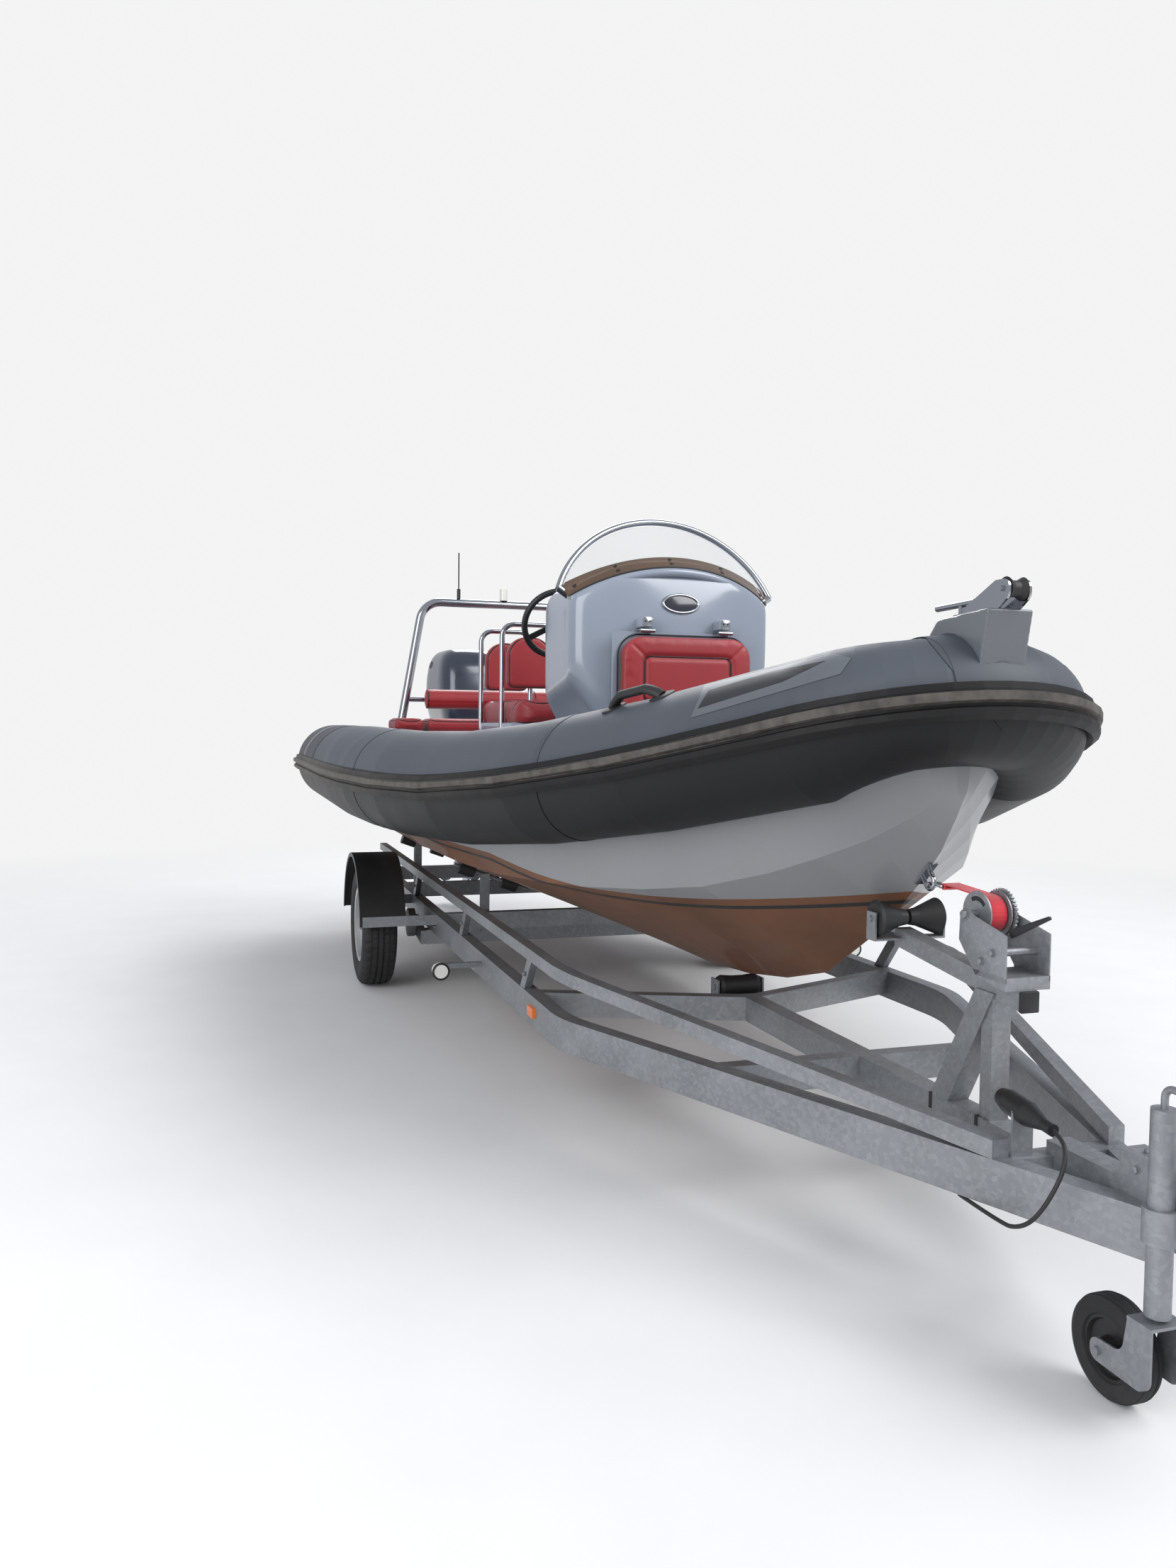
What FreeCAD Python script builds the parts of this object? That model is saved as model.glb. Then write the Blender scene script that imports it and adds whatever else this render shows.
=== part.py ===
"""Rigid inflatable boat on its single-axle trailer, as a parametric document.

Millimetres. +X runs forward to the bow and the coupling, +Y to port, +Z up. The ground is z = 0.
Lengths along the object are stations, counted forward from the wheels' axle.
"""
import FreeCAD
import Part
import math
import os
from FreeCAD import Vector

# Driving dimensions: name, value, what it is
DIMENSIONS = (
    ("axle_x", -805, "wheel axle, from the object's origin"),
    ("tyre_radius", 298, "road tyre, 165 wide on a 13 inch rim"),
    ("tyre_width", 165, "road tyre"),
    ("rim_radius", 165, "bead seat of the 13 inch rim"),
    ("wheel_track", 1930, "between the road tyres' middles"),
    ("rail_width", 50, "main rail, box section"),
    ("rail_height", 100, "main rail, box section"),
    ("rail_top", 390, "top of the main rails"),
    ("rail_spread", 1380, "between the main rails' middles, aft"),
    ("rail_back", -1590, "station of the rails' back ends"),
    ("rail_bend", 2400, "station where the rails start to converge"),
    ("rail_bend_radius", 420, "inside of the rails' bend"),
    ("rail_toe", 21.5, "degrees that the rails turn in"),
    ("rail_front", 4095, "station of the main rails' front ends"),
    ("top_rail_size", 40, "upper rail, square section"),
    ("top_rail_top", 540, "top of the upper rails"),
    ("top_rail_front", 3785, "station of the upper rails' front ends"),
    ("cross_width", 50, "cross member, box section"),
    ("cross_height", 80, "cross member, box section"),
    ("axle_cross_station", 330, "cross member that carries the bow-side hull rollers"),
    ("stern_cross_station", -800, "cross member that carries the stern hull rollers"),
    ("back_cross_station", -1560, "aftmost cross member"),
    ("brace_cross_station", 3000, "cross member ahead of the hull"),
    ("front_cross_station", 3780, "foremost cross member"),
    ("brace_lead", 340, "from the V members' roots to the rails' bend"),
    ("brace_apex", 2300, "station where the V members meet"),
    ("beam_width", 60, "centre beam under the winch post"),
    ("beam_height", 80, "centre beam under the winch post"),
    ("beam_front", 3660, "station of the centre beam's front end"),
    ("drawbar_size", 60, "square drawbar tube"),
    ("drawbar_top", 417, "top of the drawbar"),
    ("drawbar_front", 4210, "station of the drawbar's front end"),
    ("ball_radius", 25, "towing ball"),
    ("coupling_nose", 4400, "station of the coupling's nose"),
    ("axle_beam_station", 165, "suspension beam, ahead of the hubs"),
    ("axle_beam_size", 70, "suspension beam, square section"),
    ("guard_gap", 52, "from tyre to mudguard"),
    ("guard_wall", 6, "mudguard"),
    ("guard_width", 215, "mudguard"),
    ("stock_wall", 5, "flat stock of the brackets"),
    ("post_size", 60, "winch post, square tube"),
    ("post_foot", 3392, "station of the winch post's foot"),
    ("post_lean", 156, "winch post's head ahead of its foot"),
    ("post_head_height", 672, "height of the winch post's head"),
    ("stay_station", 3562, "station of the upright stay of the winch post"),
    ("arm_size", 46, "snubber arm, square tube"),
    ("arm_back", 3170, "station of the snubber arm's back end"),
    ("arm_back_height", 748, "height of the snubber arm's back end"),
    ("arm_front", 3672, "station of the snubber arm's capped end"),
    ("arm_front_height", 688, "height of the snubber arm's capped end"),
    ("snubber_station", 3186, "axis of the bow snubber"),
    ("snubber_height", 800, "axis of the bow snubber"),
    ("snubber_radius", 48, "outer end of a snubber cone"),
    ("snubber_length", 190, "both snubber cones"),
    ("drum_station", 3520, "axis of the winch drum"),
    ("drum_height", 862, "axis of the winch drum"),
    ("drum_radius", 53, "flange of the winch drum"),
    ("drum_width", 52, "between the drum's flanges"),
    ("gear_radius", 58, "tip of the drum gear"),
    ("gear_teeth", 36, "drum gear"),
    ("strap_width", 45, "winch strap webbing"),
    ("strap_thick", 4, "winch strap webbing"),
    ("eye_station", 3268, "bow eye"),
    ("eye_height", 926, "bow eye"),
    ("jockey_station", 4135, "axis of the jockey wheel's stem"),
    ("jockey_side", 66, "axis of the jockey wheel's stem, to starboard"),
    ("jockey_radius", 100, "jockey wheel"),
    ("jockey_width", 60, "jockey wheel"),
    ("jockey_trail", 100, "jockey wheel axle behind its stem"),
    ("jockey_lift", 80, "travel of the jockey stem"),
    ("tube_radius_aft", 230, "inflated collar, aft"),
    ("tube_radius_bow", 156, "inflated collar, at the bow"),
    ("collar_beam", 2467, "over the rubbing strake, aft"),
    ("collar_bow", 3604, "station of the rubbing strake's tip"),
    ("collar_bow_radius", 530, "plan radius of the bow, over the strake"),
    ("collar_turn", 0, "station where the sides start to turn in"),
    ("collar_stern", -1800, "station where the end cones start"),
    ("collar_end", -2200, "station of the end cones' tips"),
    ("cone_radius", 95, "tip of an end cone"),
    ("collar_height", 1048, "middle of the collar, aft"),
    ("sheer_start", 1224, "station where the sheer starts to rise"),
    ("sheer_rise", 310, "rise of the collar's middle to the bow"),
    ("roller_behind", 23, "axis of the bow roller, behind the strake's tip"),
    ("roller_above", 251, "axis of the bow roller, above the collar's middle"),
    ("strake_depth", 30, "rubbing strake, outward from the collar"),
    ("strake_height", 88, "rubbing strake"),
    ("transom_station", -1950, "back face of the hull"),
    ("transom_thick", 65, "transom board"),
    ("transom_top", 1110, "transom beside the engine cut-out"),
    ("transom_cut", 965, "bottom of the engine cut-out"),
    ("transom_cut_width", 620, "engine cut-out"),
    ("floor_height", 870, "cockpit floor"),
    ("keel_height", 430, "keel, aft"),
    ("sole_thick", 12, "non-slip cockpit sole"),
    ("console_back", 930, "station of the dash"),
    ("console_front", 1612, "station of the console's face, at badge height"),
    ("console_half", 430, "half width of the console"),
    ("console_crown", 1950, "crown of the console"),
    ("console_shoulder", 1790, "console's top edge at its sides"),
    ("screen_thick", 6, "wind screen"),
    ("screen_foot", 1453, "station of the screen hoop's ends"),
    ("screen_lean", 110, "screen hoop's crown behind its ends"),
    ("rail_tube", 25, "stainless grab rail"),
    ("wheel_station", 745, "steering wheel's middle"),
    ("wheel_side", -245, "steering wheel's middle"),
    ("wheel_height", 1748, "steering wheel's middle"),
    ("wheel_rake", 24, "degrees that the steering wheel leans"),
    ("wheel_radius", 165, "steering wheel"),
    ("hinge_station", 1668, "hinge line of the console hatch"),
    ("hinge_height", 1652, "hinge line of the console hatch"),
    ("hatch_half", 270, "half width of the hatch cushion"),
    ("hatch_height", 360, "hatch cushion"),
    ("seat_side", 260, "middle of each saddle seat"),
    ("saddle_back", -215, "station of the saddle's back"),
    ("saddle_front", 600, "station of the saddle's nose"),
    ("saddle_width", 250, "saddle"),
    ("saddle_top", 1415, "top of the saddle"),
    ("saddle_thick", 110, "saddle"),
    ("hoop_front", 305, "station of the front backrest hoop"),
    ("hoop_back", -155, "station of the back backrest hoop"),
    ("hoop_top", 1790, "top of the backrest hoops"),
    ("hoop_width", 290, "backrest hoop, over its tube"),
    ("hoop_tube", 25, "backrest hoop"),
    ("bench_front", -880, "station of the bench's front"),
    ("bench_back", -1200, "station of the bench's back"),
    ("bench_room", 8.5, "from the bench cushion's ends to the collar"),
    ("bench_side_pad", 185, "outer bench cushions"),
    ("bench_top", 1326, "top of the bench cushion"),
    ("bench_pad", 78, "bench cushion"),
    ("arch_station", -1290, "stainless arch"),
    ("arch_tube", 50, "stainless arch"),
    ("arch_top", 2035, "middle of the arch's top bar"),
    ("arch_half_top", 500, "half width of the arch at its top corners"),
    ("arch_half_foot", 640, "half width of the arch at its feet"),
    ("arch_corner", 130, "corner radius of the arch"),
    ("bolster_radius", 62, "roll backrest"),
    ("bolster_half", 505, "half length of the roll backrest"),
    ("bolster_height", 1443, "axis of the roll backrest"),
    ("bolster_station", -1190, "axis of the roll backrest"),
    ("tilt_station", -2030, "engine tilt axis"),
    ("tilt_height", 985, "engine tilt axis"),
    ("steer_station", -2130, "engine steering axis"),
    ("cowl_back", -2790, "station of the cowl's back"),
    ("cowl_front", -2120, "station of the cowl's front"),
    ("cowl_half", 250, "half width of the cowl"),
    ("cowl_bottom", 1240, "joint of cowl and tray"),
    ("cowl_top", 1825, "crown of the cowl"),
    ("prop_height", 268, "propeller axis"),
    ("prop_radius", 172, "propeller"),
    ("prop_station", -2560, "propeller's middle"),
    ("running", 6, "clearance between pieces that move past each other"),
    ("seat_gap", 0.3, "clearance of soft pieces"),
)

doc = FreeCAD.newDocument("rib_on_trailer")
sheet = doc.addObject("Spreadsheet::Sheet", "Sizes")
for row, (alias, value, words) in enumerate(DIMENSIONS, start=1):
    sheet.set(f"A{row}", words)
    sheet.set(f"B{row}", str(value))
    sheet.setAlias(f"B{row}", alias)
doc.recompute()


class Size:
    """A length known both as a number and as an expression on the sheet."""

    def __init__(self, number, text):
        self.number = number
        self.text = text

    def __float__(self):
        return float(self.number)

    def __add__(self, other):
        return Size(self.number + number(other), f"({self.text} + {text(other)})")

    def __radd__(self, other):
        return Size(number(other) + self.number, f"({text(other)} + {self.text})")

    def __sub__(self, other):
        return Size(self.number - number(other), f"({self.text} - {text(other)})")

    def __rsub__(self, other):
        return Size(number(other) - self.number, f"({text(other)} - {self.text})")

    def __mul__(self, other):
        return Size(self.number * number(other), f"({self.text} * {text(other)})")

    __rmul__ = __mul__

    def __truediv__(self, other):
        return Size(self.number / number(other), f"({self.text} / {text(other)})")

    def __neg__(self):
        return Size(-self.number, f"(-{self.text})")


def number(length):
    return length.number if isinstance(length, Size) else float(length)


def text(length):
    return length.text if isinstance(length, Size) else f"{float(length):.6f}"


def size(alias):
    """A cell of the sheet as a Size."""
    return Size(float(sheet.get(alias)), f"Sizes.{alias}")


def mm(alias):
    """A cell of the sheet as a plain number."""
    return float(sheet.get(alias))


AXLE = mm("axle_x")
NODES = []


def at(station, across=0.0, height=0.0):
    """A point by its station forward of the axle, its offset to port and its height."""
    return Vector(AXLE + number(station), number(across), number(height))


def place(piece, position):
    for axis, length in zip("xyz", position):
        piece.setExpression(f"Placement.Base.{axis}", text(length))


def box(name, lengths, corner):
    """A box from its lowest corner; corner[0] is a station."""
    piece = doc.addObject("Part::Box", name)
    for key, length in zip(("Length", "Width", "Height"), lengths):
        piece.setExpression(key, text(length))
    place(piece, (size("axle_x") + corner[0], corner[1], corner[2]))
    return piece


def middle_box(name, lengths, middle):
    """A box from its middle; middle[0] is a station."""
    return box(name, lengths, [m - length / 2 for m, length in zip(middle, lengths)])


def cylinder(name, radius, length, start, axis):
    """A cylinder that runs from start along axis "x", "y" or "z"; start[0] is a station."""
    piece = doc.addObject("Part::Cylinder", name)
    piece.setExpression("Radius", text(radius))
    piece.setExpression("Height", text(length))
    turn = {"x": (Vector(0, 1, 0), 90), "y": (Vector(1, 0, 0), -90), "z": (Vector(0, 0, 1), 0)}[axis]
    piece.Placement = FreeCAD.Placement(Vector(), FreeCAD.Rotation(*turn))
    place(piece, (size("axle_x") + start[0], start[1], start[2]))
    return piece


def solid(name, shape):
    """A piece whose shape is worked out from the sheet's sizes."""
    piece = doc.addObject("Part::Feature", name)
    piece.Shape = shape
    return piece


def fused(name, pieces):
    union = doc.addObject("Part::MultiFuse", name)
    union.Shapes = pieces
    return union


def cut(name, base, tool):
    difference = doc.addObject("Part::Cut", name)
    difference.Base = base
    difference.Tool = tool
    return difference


def group(name, pieces):
    """Like pieces that don't touch, kept side by side under one name."""
    together = doc.addObject("Part::Compound", name)
    together.Links = pieces
    return together


def node(piece, label):
    """Marks a document object as a sub-part and names its file."""
    piece.Label = label
    NODES.append(piece)
    return piece


def polygon(points, closed=True):
    points = list(points)
    return Part.makePolygon(points + points[:1] if closed else points)


def prism(points, along):
    return Part.Face(polygon(points)).extrude(along)


def mirrored(shape):
    return shape.mirror(Vector(), Vector(0, 1, 0))


def both_sides(shape):
    """A port shape and its starboard twin."""
    return [shape, mirrored(shape)]


def rod(start, end, radius):
    return Part.makeCylinder(radius, (end - start).Length, start, end - start)


def bent_path(points, radii):
    """Straight runs joined by tangent arcs, one radius for each inner point."""
    edges = []
    start = points[0]
    for before, corner, after, radius in zip(points, points[1:], points[2:], radii):
        back = (before - corner).normalize()
        ahead = (after - corner).normalize()
        half = back.getAngle(ahead) / 2
        reach = radius / math.tan(half)
        first = corner + back * reach
        last = corner + ahead * reach
        bisector = (back + ahead).normalize()
        crown = corner + bisector * (radius / math.sin(half) - radius)
        edges.append(Part.LineSegment(start, first).toShape())
        edges.append(Part.Arc(first, crown, last).toShape())
        start = last
    edges.append(Part.LineSegment(start, points[-1]).toShape())
    return Part.Wire(edges)


def bent_tube(points, radii, radius):
    """A round bar along straight runs and tangent arcs."""
    path = bent_path(points, radii)
    ring = Part.Wire(Part.makeCircle(radius, points[0], points[1] - points[0]))
    return path.makePipeShell([ring], True, False)


def turned(profile, centre, axis):
    """A closed profile of points turned a full circle about an axis."""
    return Part.Face(polygon(profile)).revolve(centre, axis, 360)


def wheel_profile(centre, pairs):
    """Pairs of (outward along y, radius) as points in the plane above the centre."""
    return [centre + Vector(0, across, radius) for across, radius in pairs]


def rounded_outline(corners, radii):
    """A closed outline of straight sides joined by tangent arcs, one radius for each corner."""
    edges = []
    count = len(corners)
    ends = []
    for index, (corner, radius) in enumerate(zip(corners, radii)):
        back = (corners[index - 1] - corner).normalize()
        ahead = (corners[(index + 1) % count] - corner).normalize()
        if radius == 0:
            ends.append((corner, None, corner))
            continue
        half = back.getAngle(ahead) / 2
        reach = radius / math.tan(half)
        crown = corner + (back + ahead).normalize() * (radius / math.sin(half) - radius)
        ends.append((corner + back * reach, crown, corner + ahead * reach))
    for index, (first, crown, last) in enumerate(ends):
        if crown is not None:
            edges.append(Part.Arc(first, crown, last).toShape())
        following = ends[(index + 1) % count][0]
        if (following - last).Length > 1e-6:
            edges.append(Part.LineSegment(last, following).toShape())
    return Part.Wire(edges)


def rounded_prism(corners, radii, along):
    return Part.Face(rounded_outline(corners, radii)).extrude(along)


def pillow(low, high, edge):
    """A box with rounded edges; the corners' stations are x."""
    shape = Part.makeBox(high.x - low.x, high.y - low.y, high.z - low.z, low)
    return shape.makeFillet(edge, shape.Edges)


# Trailer frame
TOE = math.radians(mm("rail_toe"))
RAIL_Y = mm("rail_spread") / 2
RAIL_BOTTOM = mm("rail_top") - mm("rail_height")


def rail_line(offset, front):
    """Port rail in plan, offset outward from its middle, up to a front station."""
    radius = mm("rail_bend_radius")
    y = RAIL_Y + offset
    corner_x = mm("rail_bend") + offset * math.tan(TOE / 2)
    reach = (front - corner_x)
    return [(mm("rail_back"), y), (corner_x, y), (front, y - reach * math.tan(TOE))], radius - offset


def rail_shape(half_width, outward, front, low, high):
    """Port rail cut from its plan outline, between two heights."""
    inner, inner_radius = rail_line(outward - half_width, front)
    outer, outer_radius = rail_line(outward + half_width, front)
    corners = [at(x, y, low) for x, y in inner + outer[::-1]]
    radii = [0, inner_radius + 2 * half_width, 0, 0, outer_radius + 2 * half_width, 0]
    return rounded_prism(corners, radii, Vector(0, 0, high - low))


main_rail = rail_shape(mm("rail_width") / 2, 0, mm("rail_front"), RAIL_BOTTOM, mm("rail_top"))
main_rail = main_rail.cut(Part.makeBox(600, 500, 300, at(mm("rail_front") - 590, mm("drawbar_size") / 2 - 499.7,
                                                          RAIL_BOTTOM - 50)))
main_rails = node(solid("MainRails", Part.makeCompound(both_sides(main_rail))), "main_rails")

TOP_RAIL = mm("top_rail_size")
TOP_OUT = (mm("rail_width") - TOP_RAIL) / 2
top_rail_plan = rail_shape(TOP_RAIL / 2, TOP_OUT, mm("top_rail_front"), mm("rail_top"), mm("top_rail_top"))
top_rail_side = [
    at(mm("rail_back"), 0, mm("top_rail_top")),
    at(mm("rail_bend"), 0, mm("top_rail_top")),
    at(mm("top_rail_front"), 0, mm("rail_top") + TOP_RAIL),
    at(mm("top_rail_front"), 0, mm("rail_top")),
    at(mm("rail_bend"), 0, mm("top_rail_top") - TOP_RAIL),
    at(mm("rail_back"), 0, mm("top_rail_top") - TOP_RAIL),
]
top_rail = top_rail_plan.common(prism(top_rail_side, Vector(0, RAIL_Y + 100, 0)))

# Slanted struts between the rails: station of the foot, lean forward of the head
STRUTS = ((-1400, 90), (-330, 90), (880, 90), (1930, 90))
struts = []
for foot, tilt in STRUTS:
    struts.append(prism(
        [at(foot, RAIL_Y - 3, mm("rail_top")), at(foot + 55, RAIL_Y - 3, mm("rail_top")),
         at(foot + 55 + tilt, RAIL_Y - 3, mm("top_rail_top") - TOP_RAIL),
         at(foot + tilt, RAIL_Y - 3, mm("top_rail_top") - TOP_RAIL)],
        Vector(0, mm("rail_width") / 2, 0)))
top_rail = top_rail.multiFuse(struts).removeSplitter()
node(solid("TopRails", Part.makeCompound(both_sides(top_rail))), "upper_rails")

CROSS_Z = size("rail_top") - size("cross_height")
INNER = size("rail_spread") / 2 - size("rail_width") / 2


def cross(name, station, half):
    return box(name, (size("cross_width"), half * 2, size("cross_height")),
               (station - size("cross_width") / 2, -half, CROSS_Z))


crosses = [
    cross("AxleCross", size("axle_cross_station"), INNER),
    cross("SternCross", size("stern_cross_station"), INNER),
    cross("BackCross", size("back_cross_station"), INNER),
]


def rail_inner(station):
    """Inner face of the port main rail ahead of the bend."""
    line, _ = rail_line(-mm("rail_width") / 2, station)
    return line[2][1]


def converging_cross(station, inside):
    """Port half of a cross member between the centre and a converging rail."""
    back = station - mm("cross_width") / 2
    front = station + mm("cross_width") / 2
    low = mm("rail_top") - mm("cross_height")
    return prism([at(back, inside, low), at(back, rail_inner(back), low),
                  at(front, rail_inner(front), low), at(front, inside, low)],
                 Vector(0, 0, mm("cross_height")))


def brace_member():
    """Port half of the V that carries the keel roller."""
    low = mm("rail_top") - mm("cross_height")
    width = mm("cross_width")
    root_y = RAIL_Y - mm("rail_width") / 2
    return prism([at((mm("rail_bend") - mm("brace_lead")) - width, root_y, low), at((mm("rail_bend") - mm("brace_lead")), root_y, low),
                  at(mm("brace_apex"), mm("beam_width") / 2, low),
                  at(mm("brace_apex") - width, mm("beam_width") / 2, low)],
                 Vector(0, 0, mm("cross_height")))


low = mm("rail_top") - mm("cross_height")
beam_y = mm("beam_width") / 2
centre_beam = Part.makeBox(mm("beam_front") - mm("brace_apex") + mm("cross_width"), 2 * beam_y, mm("cross_height"),
                           at(mm("brace_apex") - mm("cross_width"), -beam_y, low))
bar_y = mm("drawbar_size") / 2
drawbar = Part.makeBox(mm("drawbar_front") - mm("front_cross_station"), 2 * bar_y, mm("drawbar_size"),
                       at(mm("front_cross_station"), -bar_y, mm("drawbar_top") - mm("drawbar_size")))
drawbar = drawbar.cut(Part.makeCompound(both_sides(main_rail)))


def union(shapes):
    first, *rest = shapes
    return first.multiFuse(rest).removeSplitter()


def plate(low, high):
    """A box between two corners whose x values are stations."""
    return Part.makeBox(high[0] - low[0], high[1] - low[1], high[2] - low[2], at(*low))


# Coupling head with its ball socket
BALL = mm("ball_radius") + 0.5
NOSE = mm("coupling_nose")
BALL_X = NOSE - 55
BALL_Z = mm("drawbar_top") + 13
BAR_TOP = mm("drawbar_top")
HEAD_BACK = mm("drawbar_front") - 220
head_side = [(HEAD_BACK, BAR_TOP + 57), (4250, BAR_TOP + 57), (4330, BAR_TOP + 68), (4380, BAR_TOP + 60),
             (NOSE, BAR_TOP + 32), (NOSE, BAR_TOP), (4385, BAR_TOP - 9), (mm("drawbar_front") + 3, BAR_TOP - 9),
             (mm("drawbar_front") + 3, BAR_TOP), (HEAD_BACK, BAR_TOP)]
head_plan = rounded_outline([at(HEAD_BACK, -30, 250), at(4200, -30, 250), at(4265, -40, 250), at(NOSE, -40, 250),
                             at(NOSE, 40, 250), at(4265, 40, 250), at(4200, 30, 250), at(HEAD_BACK, 30, 250)],
                            [0, 20, 20, 38, 38, 20, 20, 0])
head = prism([at(x, -60, z) for x, z in head_side], Vector(0, 120, 0))
head = head.common(Part.Face(head_plan).extrude(Vector(0, 0, 350)))
head = head.cut(Part.makeSphere(BALL, at(BALL_X, 0, BALL_Z)))
head = head.cut(Part.makeCylinder(BALL, 100, at(BALL_X, 0, BALL_Z - 100)))
handle = plate((4170, -9, BAR_TOP + 74), (4290, 9, BAR_TOP + 88)).fuse(plate((4272, -9, BAR_TOP + 50),
                                                                         (4290, 9, BAR_TOP + 76)))
node(solid("CouplingHead", head.fuse(handle)), "coupling")

# Suspension beam, trailing arms and stub axles
BEAM = mm("axle_beam_size")
WHEEL_Y = mm("wheel_track") / 2
RAIL_OUT = RAIL_Y + mm("rail_width") / 2
beam = plate((mm("axle_beam_station") - BEAM / 2, -RAIL_OUT - 20, RAIL_BOTTOM - BEAM),
             (mm("axle_beam_station") + BEAM / 2, RAIL_OUT + 20, RAIL_BOTTOM))
AXLE_Z = mm("tyre_radius")
arm = prism([at(mm("axle_beam_station") + 35, RAIL_OUT + 20, 222), at(mm("axle_beam_station") + 35, RAIL_OUT + 20, 286),
             at(-30, RAIL_OUT + 20, AXLE_Z + 34), at(-42, RAIL_OUT + 20, AXLE_Z - 24),
             at(40, RAIL_OUT + 20, 240)], Vector(0, 26, 0))
stub = Part.makeCylinder(17, WHEEL_Y + 40 - RAIL_OUT - 40, at(0, RAIL_OUT + 40, AXLE_Z), Vector(0, 1, 0))
backplate = Part.makeCylinder(70, 34, at(0, RAIL_OUT + 46, AXLE_Z), Vector(0, 1, 0))
node(solid("Axle", union([beam] + both_sides(union([arm, stub, backplate])))), "axle")

# Road wheels: outward along y, radius
RIM = ((-72, 182), (-68, 182), (-66, 165), (-45, 165), (-20, 148), (38, 148), (45, 165), (66, 165), (68, 182),
       (72, 182), (70, 161), (48, 159), (41, 142), (34, 138), (26, 100), (38, 78), (38, 48), (46, 36),
       (46, 17.05), (-62, 17.05), (-62, 42), (26, 44), (28, 70), (16, 98), (22, 142), (-22, 142), (-48, 159),
       (-70, 161))
HALF_TYRE = mm("tyre_width") / 2
TYRE_R = mm("tyre_radius")
TYRE = ((-66, 165), (-64, 182.3), (-74, 184), (-HALF_TYRE, 228), (-76, 272), (-62, TYRE_R - 6), (0, TYRE_R),
        (62, TYRE_R - 6), (76, 272), (HALF_TYRE, 228), (74, 184), (64, 182.3), (66, 165), (45, 165), (-45, 165))
for side, sign in (("starboard", -1), ("port", 1)):
    centre = at(0, sign * WHEEL_Y, AXLE_Z)
    rim = turned(wheel_profile(centre, [(sign * across, radius) for across, radius in RIM]), centre,
                 Vector(0, 1, 0))
    tyre = turned(wheel_profile(centre, [(sign * across, radius) for across, radius in TYRE]), centre,
                  Vector(0, 1, 0))
    tyre = tyre.cut(rim)
    node(solid(f"Rim{side.title()}", rim), f"rim_{side}")
    node(solid(f"Tyre{side.title()}", tyre), f"tyre_{side}")

# Mudguards and their stays
GUARD_IN = TYRE_R + mm("guard_gap")
GUARD_OUT = GUARD_IN + mm("guard_wall")
GUARD_HALF = mm("guard_width") / 2


def arc_band(inner, outer, start, end, centre, along):
    """A ring segment in the xz plane, angles in degrees from straight ahead."""
    def rim_point(radius, angle):
        turn = math.radians(angle)
        return centre + Vector(radius * math.cos(turn), 0, radius * math.sin(turn))
    middle = (start + end) / 2
    edges = [
        Part.Arc(rim_point(outer, start), rim_point(outer, middle), rim_point(outer, end)).toShape(),
        Part.LineSegment(rim_point(outer, end), rim_point(inner, end)).toShape(),
        Part.Arc(rim_point(inner, end), rim_point(inner, middle), rim_point(inner, start)).toShape(),
        Part.LineSegment(rim_point(inner, start), rim_point(outer, start)).toShape(),
    ]
    return Part.Face(Part.Wire(edges)).extrude(along)


guard_centre = at(0, WHEEL_Y - GUARD_HALF, AXLE_Z)
guard = arc_band(GUARD_IN, GUARD_OUT, 7, 173, guard_centre, Vector(0, mm("guard_width"), 0))
lip = arc_band(GUARD_IN - 14, GUARD_OUT, 7, 173, guard_centre + Vector(0, mm("guard_width") - 6, 0), Vector(0, 6, 0))
guard = guard.fuse(lip).removeSplitter()
node(solid("Mudguards", Part.makeCompound(both_sides(guard))), "mudguards")
stays = []
for station in (-356, 350):
    stay = plate((station, RAIL_OUT, 340), (station + 6, WHEEL_Y + GUARD_HALF - 12, 388)).cut(guard)
    stays += both_sides(max(stay.Solids, key=lambda one: one.Volume))

# Winch post with its snubber arm
lean = (mm("post_foot") + mm("post_lean")) - mm("post_foot")
rise = mm("post_head_height") - mm("rail_top")
wide = mm("post_size") / 2 * math.hypot(lean, rise) / rise
POST_Y = mm("post_size") / 2
ARM_DROP = (mm("arm_back_height") - mm("arm_front_height")) / (mm("arm_front") - mm("arm_back"))


def arm_z(station, offset=0.0):
    return mm("arm_back_height") - (station - mm("arm_back")) * ARM_DROP + offset


post = prism([at(mm("post_foot") - wide, -POST_Y, mm("rail_top")), at(mm("post_foot") + wide, -POST_Y, mm("rail_top")),
              at((mm("post_foot") + mm("post_lean")) + wide + 8, -POST_Y, mm("post_head_height") + 16),
              at((mm("post_foot") + mm("post_lean")) - wide + 8, -POST_Y, mm("post_head_height") + 16)], Vector(0, 2 * POST_Y, 0))
stay = plate((mm("stay_station") - 20, -25, mm("rail_top")), (mm("stay_station") + 20, 25, mm("post_head_height")))
half_arm = mm("arm_size") / 2
arm = prism([at(mm("arm_back"), -half_arm, arm_z(mm("arm_back"), -half_arm)),
             at(mm("arm_front"), -half_arm, arm_z(mm("arm_front"), -half_arm)),
             at(mm("arm_front"), -half_arm, arm_z(mm("arm_front"), half_arm)),
             at(mm("arm_back"), -half_arm, arm_z(mm("arm_back"), half_arm))], Vector(0, 2 * half_arm, 0))
above = prism([at(3300, -80, arm_z(3300, half_arm)), at(3900, -80, arm_z(3900, half_arm)), at(3900, -80, 900),
               at(3300, -80, 900)], Vector(0, 160, 0))
winch_post = union([post.cut(above), stay.cut(above), arm])

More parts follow.
